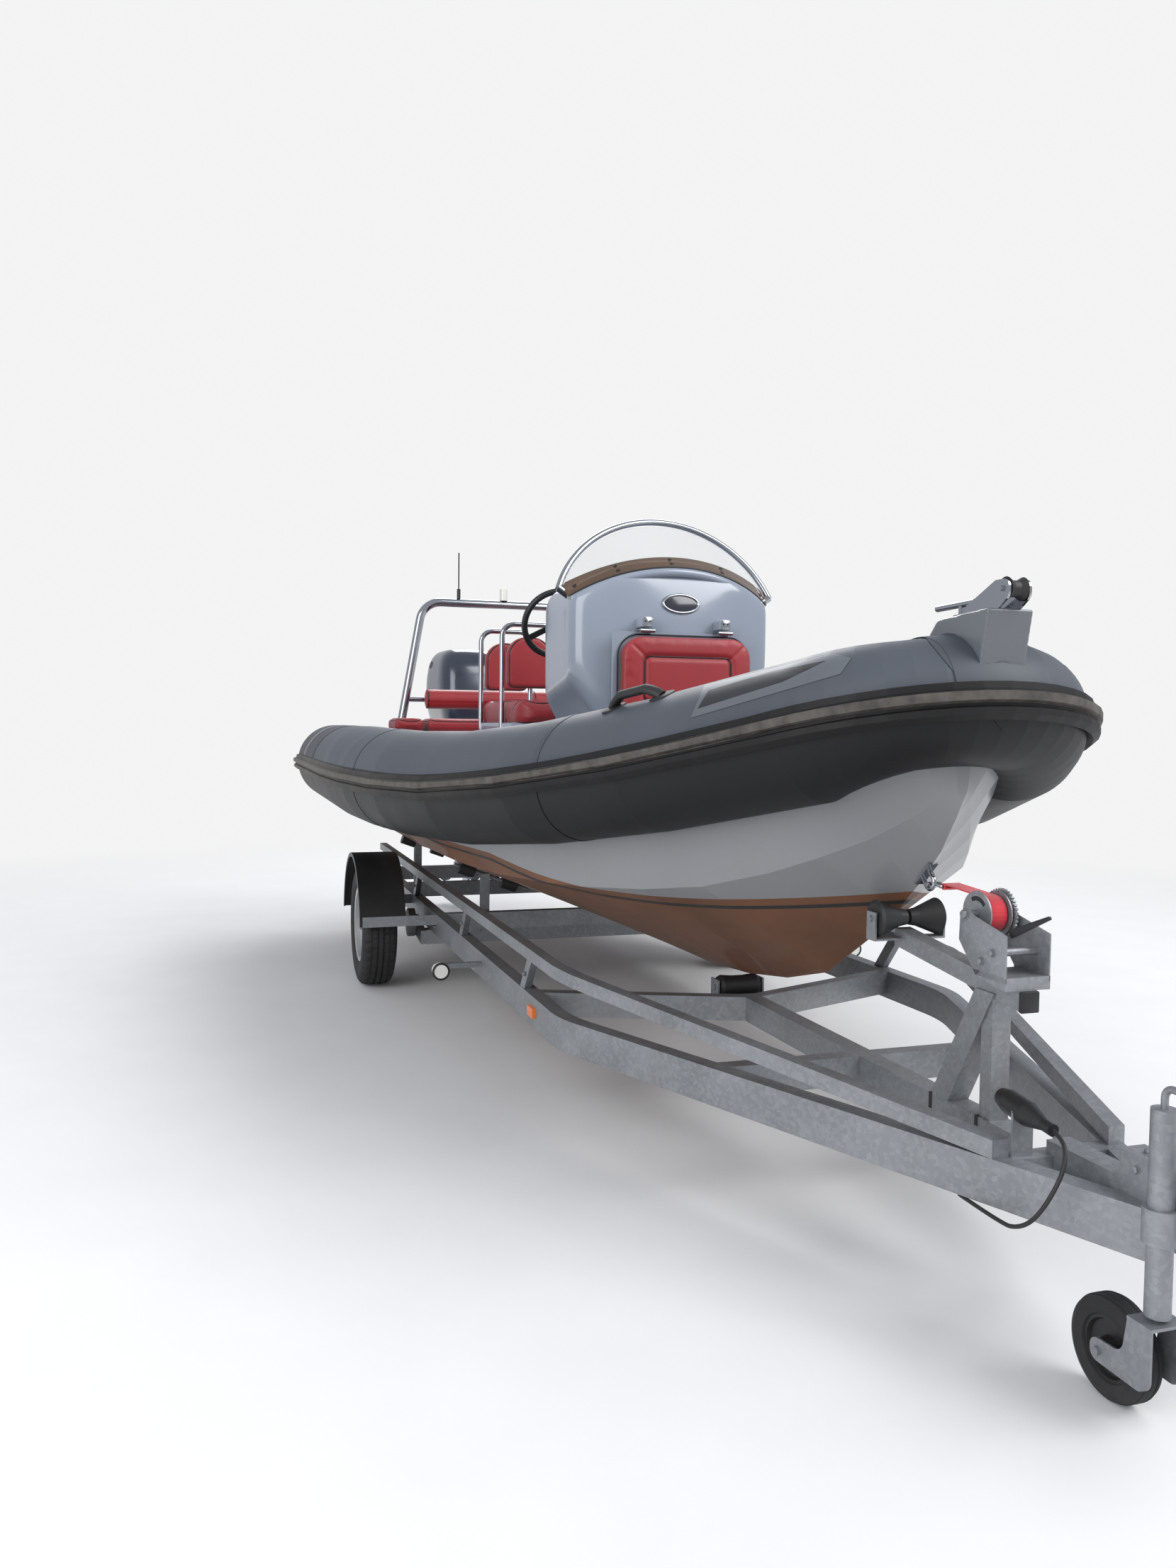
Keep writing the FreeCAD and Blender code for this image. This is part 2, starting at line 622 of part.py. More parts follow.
SNUB = (mm("snubber_station"), 0, mm("snubber_height"))
half_snub = mm("snubber_length") / 2
brackets = []
for sign in (-1, 1):
    shelf = plate((3165, min(sign * half_arm, sign * (half_snub + 10)), 744),
                  (3207, max(sign * half_arm, sign * (half_snub + 10)), 749))
    ear = plate((3165, min(sign * (half_snub + 5), sign * (half_snub + 10)), 744),
                (3207, max(sign * (half_snub + 5), sign * (half_snub + 10)), 818))
    brackets += [shelf, ear]
pin = Part.makeCylinder(8, 2 * half_snub + 30, at(SNUB[0], -half_snub - 15, SNUB[2]), Vector(0, 1, 0))
node(solid("WinchPost", union([winch_post, pin] + brackets)), "winch_post")
SNUB_R = mm("snubber_radius")
cone = ((4, 8.3), (4, 20), (26, 24), (half_snub - 22, SNUB_R - 6), (half_snub - 6, SNUB_R), (half_snub, SNUB_R - 8),
        (half_snub, 8.3))
cones = [turned(wheel_profile(at(*SNUB), [(sign * across, radius) for across, radius in cone]), at(*SNUB),
                Vector(0, 1, 0)) for sign in (-1, 1)]

# Winch frame, drum, gear, strap and hook
base_top = 742
base = prism([at(3560, -60, arm_z(3560, half_arm)), at(3668, -60, arm_z(3668, half_arm)), at(3668, -60, base_top),
              at(3560, -60, base_top)], Vector(0, 120, 0))
cheek = rounded_prism([at(3560, 56, base_top - 14), at(3668, 56, base_top - 14), at(3668, 56, 806), at(3556, 56, 882),
                       at(3490, 56, 890), at(3490, 56, 796)], [12, 8, 14, 20, 20, 22], Vector(0, 4, 0))
DRUM = at(mm("drum_station"), 0, mm("drum_height"))
bores = Part.makeCylinder(9, 140, DRUM - Vector(0, 70, 0), Vector(0, 1, 0))
pinion_rod = Part.makeCylinder(9, 130, at(3622, -62, 790), Vector(0, 1, 0))
winch_frame = union([base] + both_sides(cheek) + [pinion_rod]).cut(bores)
node(solid("WinchFrame", winch_frame), "winch_frame")
drum_half = mm("drum_width") / 2
DRUM_R = mm("drum_radius")
spool = [(-66, 0.0), (-66, 8.95), (-drum_half - 4, 8.95), (-drum_half - 4, DRUM_R), (-drum_half, DRUM_R),
         (-drum_half, 18), (drum_half, 18), (drum_half, DRUM_R), (drum_half + 4, DRUM_R), (drum_half + 4, 8.95),
         (66, 8.95), (66, 0.0)]
spool = turned(wheel_profile(DRUM, spool), DRUM, Vector(0, 1, 0))
teeth = []
count = int(mm("gear_teeth"))
for index in range(count):
    for share, radius in ((0.0, mm("gear_radius") - 5), (0.3, mm("gear_radius") - 5), (0.42, mm("gear_radius")),
                          (0.78, mm("gear_radius"))):
        turn = 2 * math.pi * (index + share) / count
        teeth.append(DRUM + Vector(radius * math.cos(turn), drum_half + 8, radius * math.sin(turn)))
gear = prism(teeth, Vector(0, 8, 0))
node(solid("WinchDrum", spool.fuse(gear)), "winch_drum")

HOOK_PIN = at(3376, 0, 906)
COIL = 43
STRAP = mm("strap_thick")
half_strap = mm("strap_width") / 2
coil = Part.makeCylinder(COIL, 2 * half_strap, DRUM - Vector(0, half_strap, 0), Vector(0, 1, 0))
coil = coil.cut(Part.makeCylinder(18.3, 200, DRUM - Vector(0, 100, 0), Vector(0, 1, 0)))
loop_out = 4.3 + STRAP
top_back = Vector(HOOK_PIN.x, -half_strap, HOOK_PIN.z + loop_out)
top_front = Vector(DRUM.x, -half_strap, DRUM.z + COIL)
run = prism([top_back - Vector(0, 0, STRAP), top_front - Vector(0, 0, STRAP), top_front, top_back],
            Vector(0, 2 * half_strap, 0))
eye_loop = Part.makeCylinder(loop_out, 2 * half_strap, HOOK_PIN - Vector(0, half_strap, 0), Vector(0, 1, 0))
eye_loop = eye_loop.cut(Part.makeCylinder(4.3, 200, HOOK_PIN - Vector(0, 100, 0), Vector(0, 1, 0)))
lower_lap = prism([Vector(HOOK_PIN.x + 2, -half_strap, HOOK_PIN.z - loop_out),
                   Vector(HOOK_PIN.x + 60, -half_strap, HOOK_PIN.z + 4),
                   Vector(HOOK_PIN.x + 60, -half_strap, HOOK_PIN.z + 5),
                   Vector(HOOK_PIN.x + 5, -half_strap, HOOK_PIN.z - 4.3)], Vector(0, 2 * half_strap, 0))
strap = union([coil, run, eye_loop, lower_lap])
node(solid("WinchStrap", strap), "winch_strap")
STEM = Vector(0.722, 0, 0.692)
OUT = Vector(0.692, 0, -0.722)
EYE = at(mm("eye_station"), 0, mm("eye_height"))
grip = EYE + OUT * 34.0
shank = HOOK_PIN + Vector(-58, 0, -4)
hook = union([
    rod(HOOK_PIN + Vector(0, -33, 0), HOOK_PIN + Vector(0, 33, 0), 4),
    rod(HOOK_PIN + Vector(0, -32, 0), shank, 3.5),
    rod(HOOK_PIN + Vector(0, 32, 0), shank, 3.5),
    bent_tube([shank + Vector(4, 0, 0), shank + Vector(-6, 4, -1), grip + Vector(14, 20, 0), grip + Vector(0, 20, 0),
               grip + Vector(0, -15, 0)], [4, 6, 9], 5),
])
bow_eye = bent_tube([EYE - STEM * 18 - OUT * 6, EYE - STEM * 18 + OUT * 46, EYE + STEM * 18 + OUT * 46,
                     EYE + STEM * 18 - OUT * 6], [17.9, 17.9], 6)
eye_base = prism([EYE - STEM * 42, EYE + STEM * 42, EYE + STEM * 42 + OUT * 5, EYE - STEM * 42 + OUT * 5],
                 Vector(0, 26, 0))
eye_base.translate(Vector(0, -13, 0))
BOW_EYE = bow_eye.fuse(eye_base)
hook = hook.cut(BOW_EYE)
node(solid("StrapHook", max(hook.Solids, key=lambda one: one.Volume)), "strap_hook")

# Keel roller ahead of the axle, on a bracket behind the V's apex
KEEL_ROLLER = at(2170, 0, 400)
roller = ((-74, 10.3), (-74, 34), (-62, 40), (-20, 36), (20, 36), (62, 40), (74, 34), (74, 10.3))
keel_roller = turned(wheel_profile(KEEL_ROLLER, roller), KEEL_ROLLER, Vector(0, 1, 0))
low = mm("rail_top") - mm("cross_height")
shelf = plate((2135, -86, low), (2260, 86, low + 6))
ears = [plate((2140, y, low), (2200, y + 6, 428)) for y in (-86, 80)]
axle = Part.makeCylinder(10, 180, KEEL_ROLLER - Vector(0, 90, 0), Vector(0, 1, 0))
front_frame = union(both_sides(brace_member()) + both_sides(converging_cross(mm("brace_cross_station"), 0))
                    + both_sides(converging_cross(mm("front_cross_station"), 0))
                    + [centre_beam, drawbar, shelf, axle] + ears)
crosses.append(solid("FrontFrame", front_frame))
node(group("CrossMembers", crosses), "cross_members")

# Hull rollers: cross member's station, post's offset, inner and outer ends of the bar, roller middles
HULL_SLOPE = math.atan2(290, 800)
HULL_NORMAL = Vector(0, math.sin(HULL_SLOPE), -math.cos(HULL_SLOPE))
HULL_ALONG = Vector(0, math.cos(HULL_SLOPE), math.sin(HULL_SLOPE))
HULL_SETS = (
    (mm("axle_cross_station") - 55, 463, 250, 640, (350, 575)),
    (mm("stern_cross_station") - 55, 600, 110, 720, (190, 330, 500, 680)),
)
HULL_ROLLER = 34
arms_port = []
rollers_port = []
for station, post_y, start, end, middles in HULL_SETS:
    def bar_point(along):
        return at(station, 0, mm("keel_height")) + HULL_ALONG * along + HULL_NORMAL * (HULL_ROLLER + 0.3)
    bar = rod(bar_point(start), bar_point(end), 11)
    reach = post_y / math.cos(HULL_SLOPE)
    top = bar_point(reach).z + 4
    upright = plate((station - 20, post_y - 20, RAIL_BOTTOM), (station + 20, post_y + 20, top))
    foot = plate((station + 19, post_y - 20, low), (station + 30, post_y + 20, low + 70))
    pieces = [bar, upright, foot]
    if start < 200:
        pieces += [plate((station - 20, bar_point(130).y - 12, low), (station + 20, bar_point(130).y + 12,
                                                                    bar_point(130).z)),
                   plate((station + 19, bar_point(130).y - 12, low), (station + 30, bar_point(130).y + 12, low + 60))]
    room = [Part.makeCylinder(HULL_ROLLER + 2, 84, bar_point(middle) - HULL_ALONG * 42, HULL_ALONG)
            for middle in middles]
    arms_port.append(union([bar] + [piece.cut(Part.makeCompound(room)) for piece in pieces[1:]]))
    for middle in middles:
        centre = bar_point(middle)
        outer = Part.makeCylinder(HULL_ROLLER, 78, centre - HULL_ALONG * 39, HULL_ALONG)
        rollers_port.append(outer.cut(Part.makeCylinder(11.3, 100, centre - HULL_ALONG * 50, HULL_ALONG)))
node(solid("RollerArms", Part.makeCompound([side for one in arms_port for side in both_sides(one)])), "roller_arms")
hull_rollers = [side for one in rollers_port for side in both_sides(one)]
node(solid("HullRollers", Part.makeCompound(hull_rollers + cones + [keel_roller])), "hull_rollers")

# Side markers: white on stalks ahead of the wheels, amber on the rails
stalks = []
lamps = []
for shape in both_sides(plate((1322, RAIL_OUT, 336), (1342, 905, 356)).fuse(plate((1342, 885, 336), (1400, 905, 356)))):
    stalks.append(shape.removeSplitter())
lamp = Part.makeCylinder(30, 36, at(1400, 895, 346), Vector(1, 0, 0))
lamps += both_sides(lamp)
amber = plate((2080, RAIL_OUT, 325), (2145, RAIL_OUT + 12, 358))
node(solid("MarkerLamps", Part.makeCompound(lamps + both_sides(amber))), "marker_lamps")

# Trailer plug, resting in its bracket on the starboard rail
PLUG = at(3800, -100, 488)
plug_axis = Vector(0.98, -0.1, -0.06).normalize()
plug_parts = [
    Part.makeCone(20, 27, 30, PLUG - plug_axis * 90, plug_axis),
    Part.makeCylinder(27, 70, PLUG - plug_axis * 60, plug_axis),
    Part.makeCone(27, 13, 55, PLUG + plug_axis * 10, plug_axis),
    Part.makeCylinder(13, 30, PLUG + plug_axis * 65, plug_axis),
]
plug = union(plug_parts)
clip = plate((3785, -126, mm("rail_top")), (3791, -74, 520)).cut(Part.makeCylinder(27.1, 200, PLUG - plug_axis * 100,
                                                                                    plug_axis))
clip = clip.cut(plate((3780, -300, 490), (3800, 0, 530)))
foot = plate((3757, -126, mm("rail_top")), (3791, -74, mm("rail_top") + 5))
plug_bracket = union([foot, max(clip.Solids, key=lambda one: one.Volume)])
node(solid("SideBrackets", Part.makeCompound(stays + stalks + [plug_bracket])), "side_brackets")
node(solid("TrailerPlug", plug), "trailer_plug")
# Cable: station, offset and height from the plug down outside the rail and back under it
CABLE = ((3930, -118, 478), (3958, -130, 462), (3972, -148, 430), (3971, -168, 392), (3960, -184, 354), (3938, -194, 320),
         (3904, -199, 297), (3862, -199, 286))
tail_start = PLUG + plug_axis * 94
cable_line = [tail_start] + [at(*row) for row in CABLE] + [at(3700, -187, 283.5)]
tail = bent_tube(cable_line, [40] * len(CABLE), 4.5)
node(solid("PlugCable", tail.cut(plug)), "plug_cable")

# Jockey wheel: clamp on the drawbar, lifting stem, trailing fork and wheel
JX = mm("jockey_station")
JY = -mm("jockey_side")
STEM_R = 24
SIDE = -mm("drawbar_size") / 2 - 0.3
clamp = Part.makeCylinder(STEM_R + 9, 66, at(JX, JY, 350)).cut(plate((JX - 60, SIDE - 5, 340), (JX + 60, 60, 430)))
clamp = clamp.fuse(plate((JX - 30, SIDE - 5.5, 350), (JX + 30, SIDE, 416))).removeSplitter()
clamp = clamp.cut(Part.makeCylinder(STEM_R + 0.3, 120, at(JX, JY, 330)))
node(solid("JockeyClamp", clamp), "jockey_clamp")
FORK_TOP = 204
stem = Part.makeCylinder(STEM_R, 600 - FORK_TOP - 8, at(JX, JY, FORK_TOP + 8))
crank = bent_tube([at(JX, JY, 595), at(JX, JY, 640), at(JX + 90, JY, 640)], [20], 7)
knob = Part.makeCylinder(11, 70, at(JX + 84, JY, 638), Vector(0, 0, 1))
stem = union([stem, crank, knob]).cut(Part.makeCylinder(9.05, 60, at(JX, JY, FORK_TOP)))
node(solid("JockeyStem", stem), "jockey_stem")
WX = JX - mm("jockey_trail")
JR = mm("jockey_radius")
half_wheel = mm("jockey_width") / 2
fork_out = half_wheel + 12
yoke = plate((JX - 30, JY - fork_out, FORK_TOP - 6), (JX + 30, JY + fork_out, FORK_TOP))
blades = []
for y in (JY - fork_out, JY + fork_out - 5):
    blades.append(rounded_prism([at(JX - 28, y, FORK_TOP - 1), at(JX + 30, y, FORK_TOP - 1), at(JX + 30, y, JR - 8),
                                 at(JX + 4, y, JR - 24), at(WX - 22, y, JR - 22), at(WX - 22, y, JR + 22),
                                 at(JX - 40, y, JR + 26)], [0, 0, 26, 20, 20, 20, 26], Vector(0, 5, 0)))
spindle = Part.makeCylinder(8, 2 * fork_out + 16, at(WX, JY - fork_out - 8, JR), Vector(0, 1, 0))
swivel = Part.makeCylinder(9, 58, at(JX, JY, FORK_TOP - 2))
sweep = Part.makeCylinder(JR + 6, 2 * half_wheel + 12, at(WX, JY - half_wheel - 6, JR), Vector(0, 1, 0))
fork = union([yoke.cut(sweep), swivel, spindle] + blades)
node(solid("JockeyFork", fork), "jockey_fork")
WHEEL = ((-half_wheel + 2, 8.05), (-half_wheel + 2, 20), (-12, 24), (-12, 52), (-20, 56), (-20, 62), (20, 62), (20, 56),
         (12, 52), (12, 24), (half_wheel - 2, 20), (half_wheel - 2, 8.05))
TYRE_J = ((-20, 62), (-half_wheel + 6, 64), (-half_wheel, 82), (-half_wheel + 8, 96), (0, JR), (half_wheel - 8, 96),
          (half_wheel, 82), (half_wheel - 6, 64), (20, 62))
hub_centre = at(WX, JY, JR)
node(solid("JockeyHub", turned(wheel_profile(hub_centre, WHEEL), hub_centre, Vector(0, 1, 0))), "jockey_hub")
node(solid("JockeyTyre", turned(wheel_profile(hub_centre, TYRE_J), hub_centre, Vector(0, 1, 0))), "jockey_tyre")


# Inflated collar: plan of the rubbing strake's ridge, then the tube inside it
BEAM_HALF = mm("collar_beam") / 2
BOW_R = mm("collar_bow_radius")
TIP = mm("collar_bow")
SIDE_LONG = TIP - BOW_R - mm("collar_turn")
SIDE_R = (SIDE_LONG ** 2 + BEAM_HALF ** 2 - BOW_R ** 2) / (2 * (BEAM_HALF - BOW_R))
BOW_ANGLE = math.asin((TIP - BOW_R - mm("collar_turn")) / (SIDE_R - BOW_R))
REACH = mm("strake_depth")


def ridge(share):
    """Plan point and heading: -1..0 straight, 0..1 the side's arc, 1..2 the bow's arc."""
    if share <= 0:
        station = mm("collar_turn") + share * (mm("collar_turn") - mm("collar_stern"))
        return station, BEAM_HALF, 0.0
    if share <= 1:
        angle = share * BOW_ANGLE
        return (mm("collar_turn") + SIDE_R * math.sin(angle), BEAM_HALF - SIDE_R * (1 - math.cos(angle)), angle)
    angle = BOW_ANGLE + (share - 1) * (math.pi / 2 - BOW_ANGLE)
    return TIP - BOW_R + BOW_R * math.sin(angle), BOW_R * math.cos(angle), angle


def sheer(station):
    span = TIP - mm("sheer_start")
    past = max(0.0, station - mm("sheer_start"))
    return mm("sheer_rise") * (past / span) ** 2


def section_at(share):
    """Tube centre, radius, forward direction and outward direction at a place on the ridge."""
    x, y, angle = ridge(share)
    radius = mm("tube_radius_aft") + (mm("tube_radius_bow") - mm("tube_radius_aft")) * max(0.0, min(1.0, share / 1.6))
    inward = REACH + radius
    centre = at(x - inward * math.sin(angle), y - inward * math.cos(angle), mm("collar_height") + sheer(x))
    step = 1e-3
    ahead = ridge(min(2.0, share + step))
    back = ridge(share - step)
    climb = (sheer(ahead[0]) - sheer(back[0])) / max(1e-9, math.hypot(ahead[0] - back[0], ahead[1] - back[1]))
    if share >= 2:
        climb = 0.0
    forward = Vector(math.cos(angle), -math.sin(angle), climb).normalize()
    outward = Vector(math.sin(angle), math.cos(angle), 0)
    return centre, radius, forward, outward


SIDE_STEPS = 6
BOW_STEPS = 8
SHARES = [-1.0] + [step / SIDE_STEPS for step in range(SIDE_STEPS)]
SHARES += [1 + step / BOW_STEPS for step in range(BOW_STEPS + 1)]


def ring_wire(section):
    """A circle square to the path, its seam on the outboard side."""
    centre, radius, forward, outward = section
    ring = Part.makeCircle(radius)
    ring.Placement = FreeCAD.Placement(centre, FreeCAD.Rotation(outward, Vector(), forward, "ZXY"))
    return Part.Wire(ring)


def other_side(section):
    """The same place on the starboard side, seen along the path from port to starboard."""
    centre, radius, forward, outward = section
    return (Vector(centre.x, -centre.y, centre.z), radius, Vector(-forward.x, forward.y, -forward.z),
            Vector(outward.x, -outward.y, 0))


sections = [section_at(share) for share in SHARES]
sections += [other_side(section) for section in sections[-2::-1]]


def wrapped(wire_at):
    """One skin from stern to stern, lofted a side at a time and joined at the bow."""
    middle = len(sections) // 2
    port_side = Part.makeLoft([wire_at(section) for section in sections[:middle + 1]], True, True)
    other = Part.makeLoft([wire_at(section) for section in sections[middle:]], True, True)
    return port_side.fuse(other).removeSplitter()


collar_tube = wrapped(ring_wire)
node(solid("Collar", collar_tube), "collar")
stern = sections[0]
cone_end = at(mm("collar_end"), 1018, mm("collar_height") + 26)
cone = Part.makeLoft([ring_wire((stern[0] - Vector(0.1, 0, 0), stern[1], stern[2], stern[3])),
                      ring_wire((cone_end, mm("cone_radius"), Vector(1, 0, 0), stern[3]))], True, True)
node(solid("CollarCones", Part.makeCompound(both_sides(cone))), "collar_cones")

# Rubbing strake: outward from the tube's skin, height
HALF_STRAKE = mm("strake_height") / 2
STRAKE = ((10, HALF_STRAKE), (13, HALF_STRAKE - 16), (REACH, HALF_STRAKE - 22), (REACH, 2), (17, -3), (17, -11),
          (26, -15), (26, -30), (10, -HALF_STRAKE))


def strake_wire(section):
    centre, radius, forward, outward = section
    up = Vector(0, 0, 1)
    points = []
    for angle in (-12, -6, 0, 6, 12):
        turn = math.radians(angle)
        points.append(centre + outward * ((radius + 0.95) * math.cos(turn)) + up * ((radius + 0.95) * math.sin(turn)))
    points += [centre + outward * (radius + out) + up * height for out, height in STRAKE]
    return polygon(points)


strake = wrapped(strake_wire)
node(solid("RubStrake", strake), "rub_strake")

# Hull: station, keel height, chine offset and height
HULL = (
    (-1950, 430, 800, 720), (-900, 430, 800, 720), (300, 430, 792, 722), (1100, 430, 765, 728),
    (1600, 432, 722, 738), (1950, 436, 655, 752), (2255, 461, 580, 772), (2536, 504, 494, 800),
    (2781, 571, 405, 838), (2997, 705, 305, 900), (3130, 800, 225, 955), (3240, 893, 150, 1010),
    (3330, 985, 85, 1072), (3390, 1075, 40, 1124), (3412, 1112, 14, 1142),
)
TRANSOM = mm("transom_station")


def collar_place(station):
    """Tube's middle abreast of a station: offset, height and radius."""
    low_share, high_share = -1.0, 2.0
    for _ in range(40):
        middle = (low_share + high_share) / 2
        if section_at(middle)[0].x - AXLE < station:
            low_share = middle
        else:
            high_share = middle
    centre, radius, forward, outward = section_at(low_share)
    return centre.y, centre.z, radius


def hull_edge(row):
    """Half width and height of the hull's top edge, tucked under the collar."""
    station, keel, chine_y, chine_z = row
    middle, height, radius = collar_place(station)
    top = max(mm("floor_height") - 25, height - 0.88 * radius)
    inset = math.sqrt(max(0.0, radius ** 2 - (height - top) ** 2)) * 0.55
    return max(chine_y + 6, middle - inset), top


def hull_wire(row):
    station, keel, chine_y, chine_z = row
    edge, top = hull_edge(row)
    pairs = [(0, keel), (chine_y * 0.5, keel + (chine_z - keel) * 0.5), (chine_y, chine_z), (edge, top)]
    points = [at(station, y, z) for y, z in pairs] + [at(station, -y, z) for y, z in pairs[:0:-1]]
    return polygon(points)


hull_solid = Part.makeLoft([hull_wire(row) for row in HULL], True, True)
tube_space = Part.makeCompound([collar_tube] + both_sides(cone))
FLOOR = mm("floor_height")
UNDER = FLOOR - 25
DECK_ROWS = [row for row in HULL if row[0] <= 2600]


def well_edge(row):
    """Half width of the cockpit sole: inside the hull's side where the side rises above the sole."""
    station, keel, chine_y, chine_z = row
    edge, top = hull_edge(row)
    share = (UNDER - chine_z) / (top - chine_z)
    return chine_y + (edge - chine_y) * share - (22 if top > UNDER + 1 else 0)


deck_edge = [at(max(row[0], TRANSOM + mm("transom_thick")), well_edge(row), UNDER) for row in DECK_ROWS]
deck_outline = deck_edge + [Vector(point.x, -point.y, point.z) for point in deck_edge[::-1]]
hull_cut = hull_solid.cut(prism(deck_outline, Vector(0, 0, 400)))
for tube in tube_space.Solids:
    hull_cut = hull_cut.cut(tube)
hull_cut = max(hull_cut.Solids, key=lambda one: one.Volume)
node(solid("Hull", hull_cut), "hull")
bow_gear = BOW_EYE.cut(hull_cut)
bow_eye = max(bow_gear.Solids, key=lambda one: one.Volume)
deck = prism(deck_outline, Vector(0, 0, FLOOR - UNDER))
for tube in tube_space.Solids:
    deck = deck.cut(tube)
deck = max(deck.Solids, key=lambda one: one.Volume)
node(solid("Deck", deck), "deck")
CUT = mm("transom_cut_width") / 2
transom = plate((TRANSOM, -870, 845), (TRANSOM + mm("transom_thick"), 870, mm("transom_top")))
transom = transom.cut(plate((TRANSOM - 10, -CUT, mm("transom_cut")), (TRANSOM + 200, CUT, 1300)))
for tube in tube_space.Solids:
    transom = transom.cut(tube)
transom = transom.cut(hull_cut)
node(solid("Transom", max(transom.Solids, key=lambda one: one.Volume)), "transom")

# Console: plan outline with a bowed front, the outline seen from ahead and the side profile meet in one block
BACK = mm("console_back")
FRONT = mm("console_front")
SHOULDER = mm("console_shoulder")
CROWN = mm("console_crown")
HALF = mm("console_half")
plan_edges = [Part.Arc(at(FRONT - 90, -HALF + 5, FLOOR), at(FRONT, 0, FLOOR), at(FRONT - 90, HALF - 5, FLOOR)).toShape()]
corners = [at(FRONT - 90, HALF - 5, FLOOR), at(FRONT - 223, HALF - 25, FLOOR), at(BACK, HALF - 65, FLOOR),
           at(BACK, 65 - HALF, FLOOR), at(FRONT - 223, 25 - HALF, FLOOR), at(FRONT - 90, 5 - HALF, FLOOR)]
plan_edges += [Part.LineSegment(first, last).toShape() for first, last in zip(corners, corners[1:])]
plan = Part.Face(Part.Wire(plan_edges)).extrude(Vector(0, 0, 1300))
outer = HALF + 10
face_edges = [Part.Arc(at(800, outer, SHOULDER), at(800, 0, CROWN), at(800, -outer, SHOULDER)).toShape()]
corners = [at(800, -outer, SHOULDER), at(800, -outer, 1530), at(800, -outer + 150, 1270), at(800, -outer + 150, 800),
           at(800, outer - 150, 800), at(800, outer - 150, 1270), at(800, outer, 1530), at(800, outer, SHOULDER)]
face_edges += [Part.LineSegment(first, last).toShape() for first, last in zip(corners, corners[1:])]
crown = Part.Face(Part.Wire(face_edges)).extrude(Vector(1000, 0, 0))
profile = rounded_prism([at(BACK, -500, FLOOR), at(FRONT - 60, -500, FLOOR), at(FRONT, -500, 1300),
                         at(FRONT, -500, 1700), at(FRONT - 30, -500, 1890), at(FRONT - 130, -500, 1985),
                         at(1150, -500, 1960), at(BACK, -500, 1820)], [0, 0, 300, 260, 70, 60, 60, 30],
                        Vector(0, 1000, 0))
console = plan.common(crown).common(profile)
node(solid("Console", console), "console")

# Wind screen between a lower arc on the console and an upper arc
def screen_band(ends, middle, thick):
    """A thin bowed band: port end, crown and thickness."""
    port = at(*ends)
    crest = at(*middle)
    starboard = Vector(port.x, -port.y, port.z)
    inward = ((port + starboard) / 2 - crest).normalize() * thick
    edges = [
        Part.Arc(port, crest, starboard).toShape(),
        Part.LineSegment(starboard, starboard + inward).toShape(),
        Part.Arc(starboard + inward, crest + inward, port + inward).toShape(),
        Part.LineSegment(port + inward, port).toShape(),
    ]
    return Part.Wire(edges)


SCREEN = mm("screen_thick")
HOOP_X = mm("screen_foot")
HOOP_LEAN = mm("screen_lean")
screen = Part.makeLoft([screen_band((HOOP_X + 34, HALF - 10, 1786), (FRONT - 22, 0, 1905), SCREEN),
                        screen_band((HOOP_X - 6, HALF + 4, 1828), (HOOP_X - HOOP_LEAN + 14, 0, 2096), SCREEN)],
                       True, True)
screen = screen.cut(console)
screen = max(screen.Solids, key=lambda one: one.Volume)
node(solid("WindScreen", screen), "wind_screen")
hoop_r = mm("rail_tube") / 2
hoop_end = at(HOOP_X, HALF + 19, 1818)
hoop_top = at(HOOP_X - HOOP_LEAN, 0, 2117)
hoop_line = Part.Arc(hoop_end, hoop_top, Vector(hoop_end.x, -hoop_end.y, hoop_end.z)).toShape()
hoop_ring = Part.Wire(Part.makeCircle(hoop_r, hoop_end, hoop_line.tangentAt(hoop_line.FirstParameter)))
screen_hoop = Part.Wire(hoop_line).makePipeShell([hoop_ring], True, True)
feet = [rod(at(HOOP_X - 3, sign * (HALF - 30), 1790), at(HOOP_X, sign * (HALF + 19), 1822), hoop_r + 3) for sign in (-1, 1)]
screen_hoop = union([screen_hoop] + feet).cut(console).cut(screen)
screen_hoop = max(screen_hoop.Solids, key=lambda one: one.Volume)

# Console hatch, hung from its top edge, with its cushion
GAP = mm("running")
HX = mm("hinge_station")
HZ = mm("hinge_height")
HATCH_LOW = HZ - mm("hatch_height") - 2
hatch = plate((FRONT + GAP, -285, HATCH_LOW), (FRONT + GAP + 18, 285, HZ - 2))
LEAF = 5
BARREL = 7
fixed_leaves = []
lid_leaves = []
for middle in (-160, 160):
    low_y = middle - 25
    high_y = middle + 25
    barrel = Part.makeCylinder(BARREL, 20, at(HX, low_y, HZ), Vector(0, 1, 0))
    hinge_pin = Part.makeCylinder(3, 50, at(HX, low_y, HZ), Vector(0, 1, 0))
    leaf = plate((FRONT - 45, low_y, HZ + BARREL - LEAF), (HX, low_y + 20, HZ + BARREL))
    fixed_leaves.append(union([barrel, hinge_pin, leaf]).cut(console))
    sleeve = Part.makeCylinder(BARREL, 29.7, at(HX, low_y + 20.3, HZ), Vector(0, 1, 0))
    lid_leaf = plate((FRONT + GAP + 17, low_y + 20.3, HZ - BARREL), (HX, high_y, HZ - BARREL + LEAF))
    sleeve = union([sleeve, lid_leaf]).cut(Part.makeCylinder(3.05, 80, at(HX, low_y, HZ), Vector(0, 1, 0)))
    lid_leaves.append(sleeve)
node(solid("HatchPanel", union([hatch] + lid_leaves)), "hatch_panel")
HALF_HATCH = mm("hatch_half")
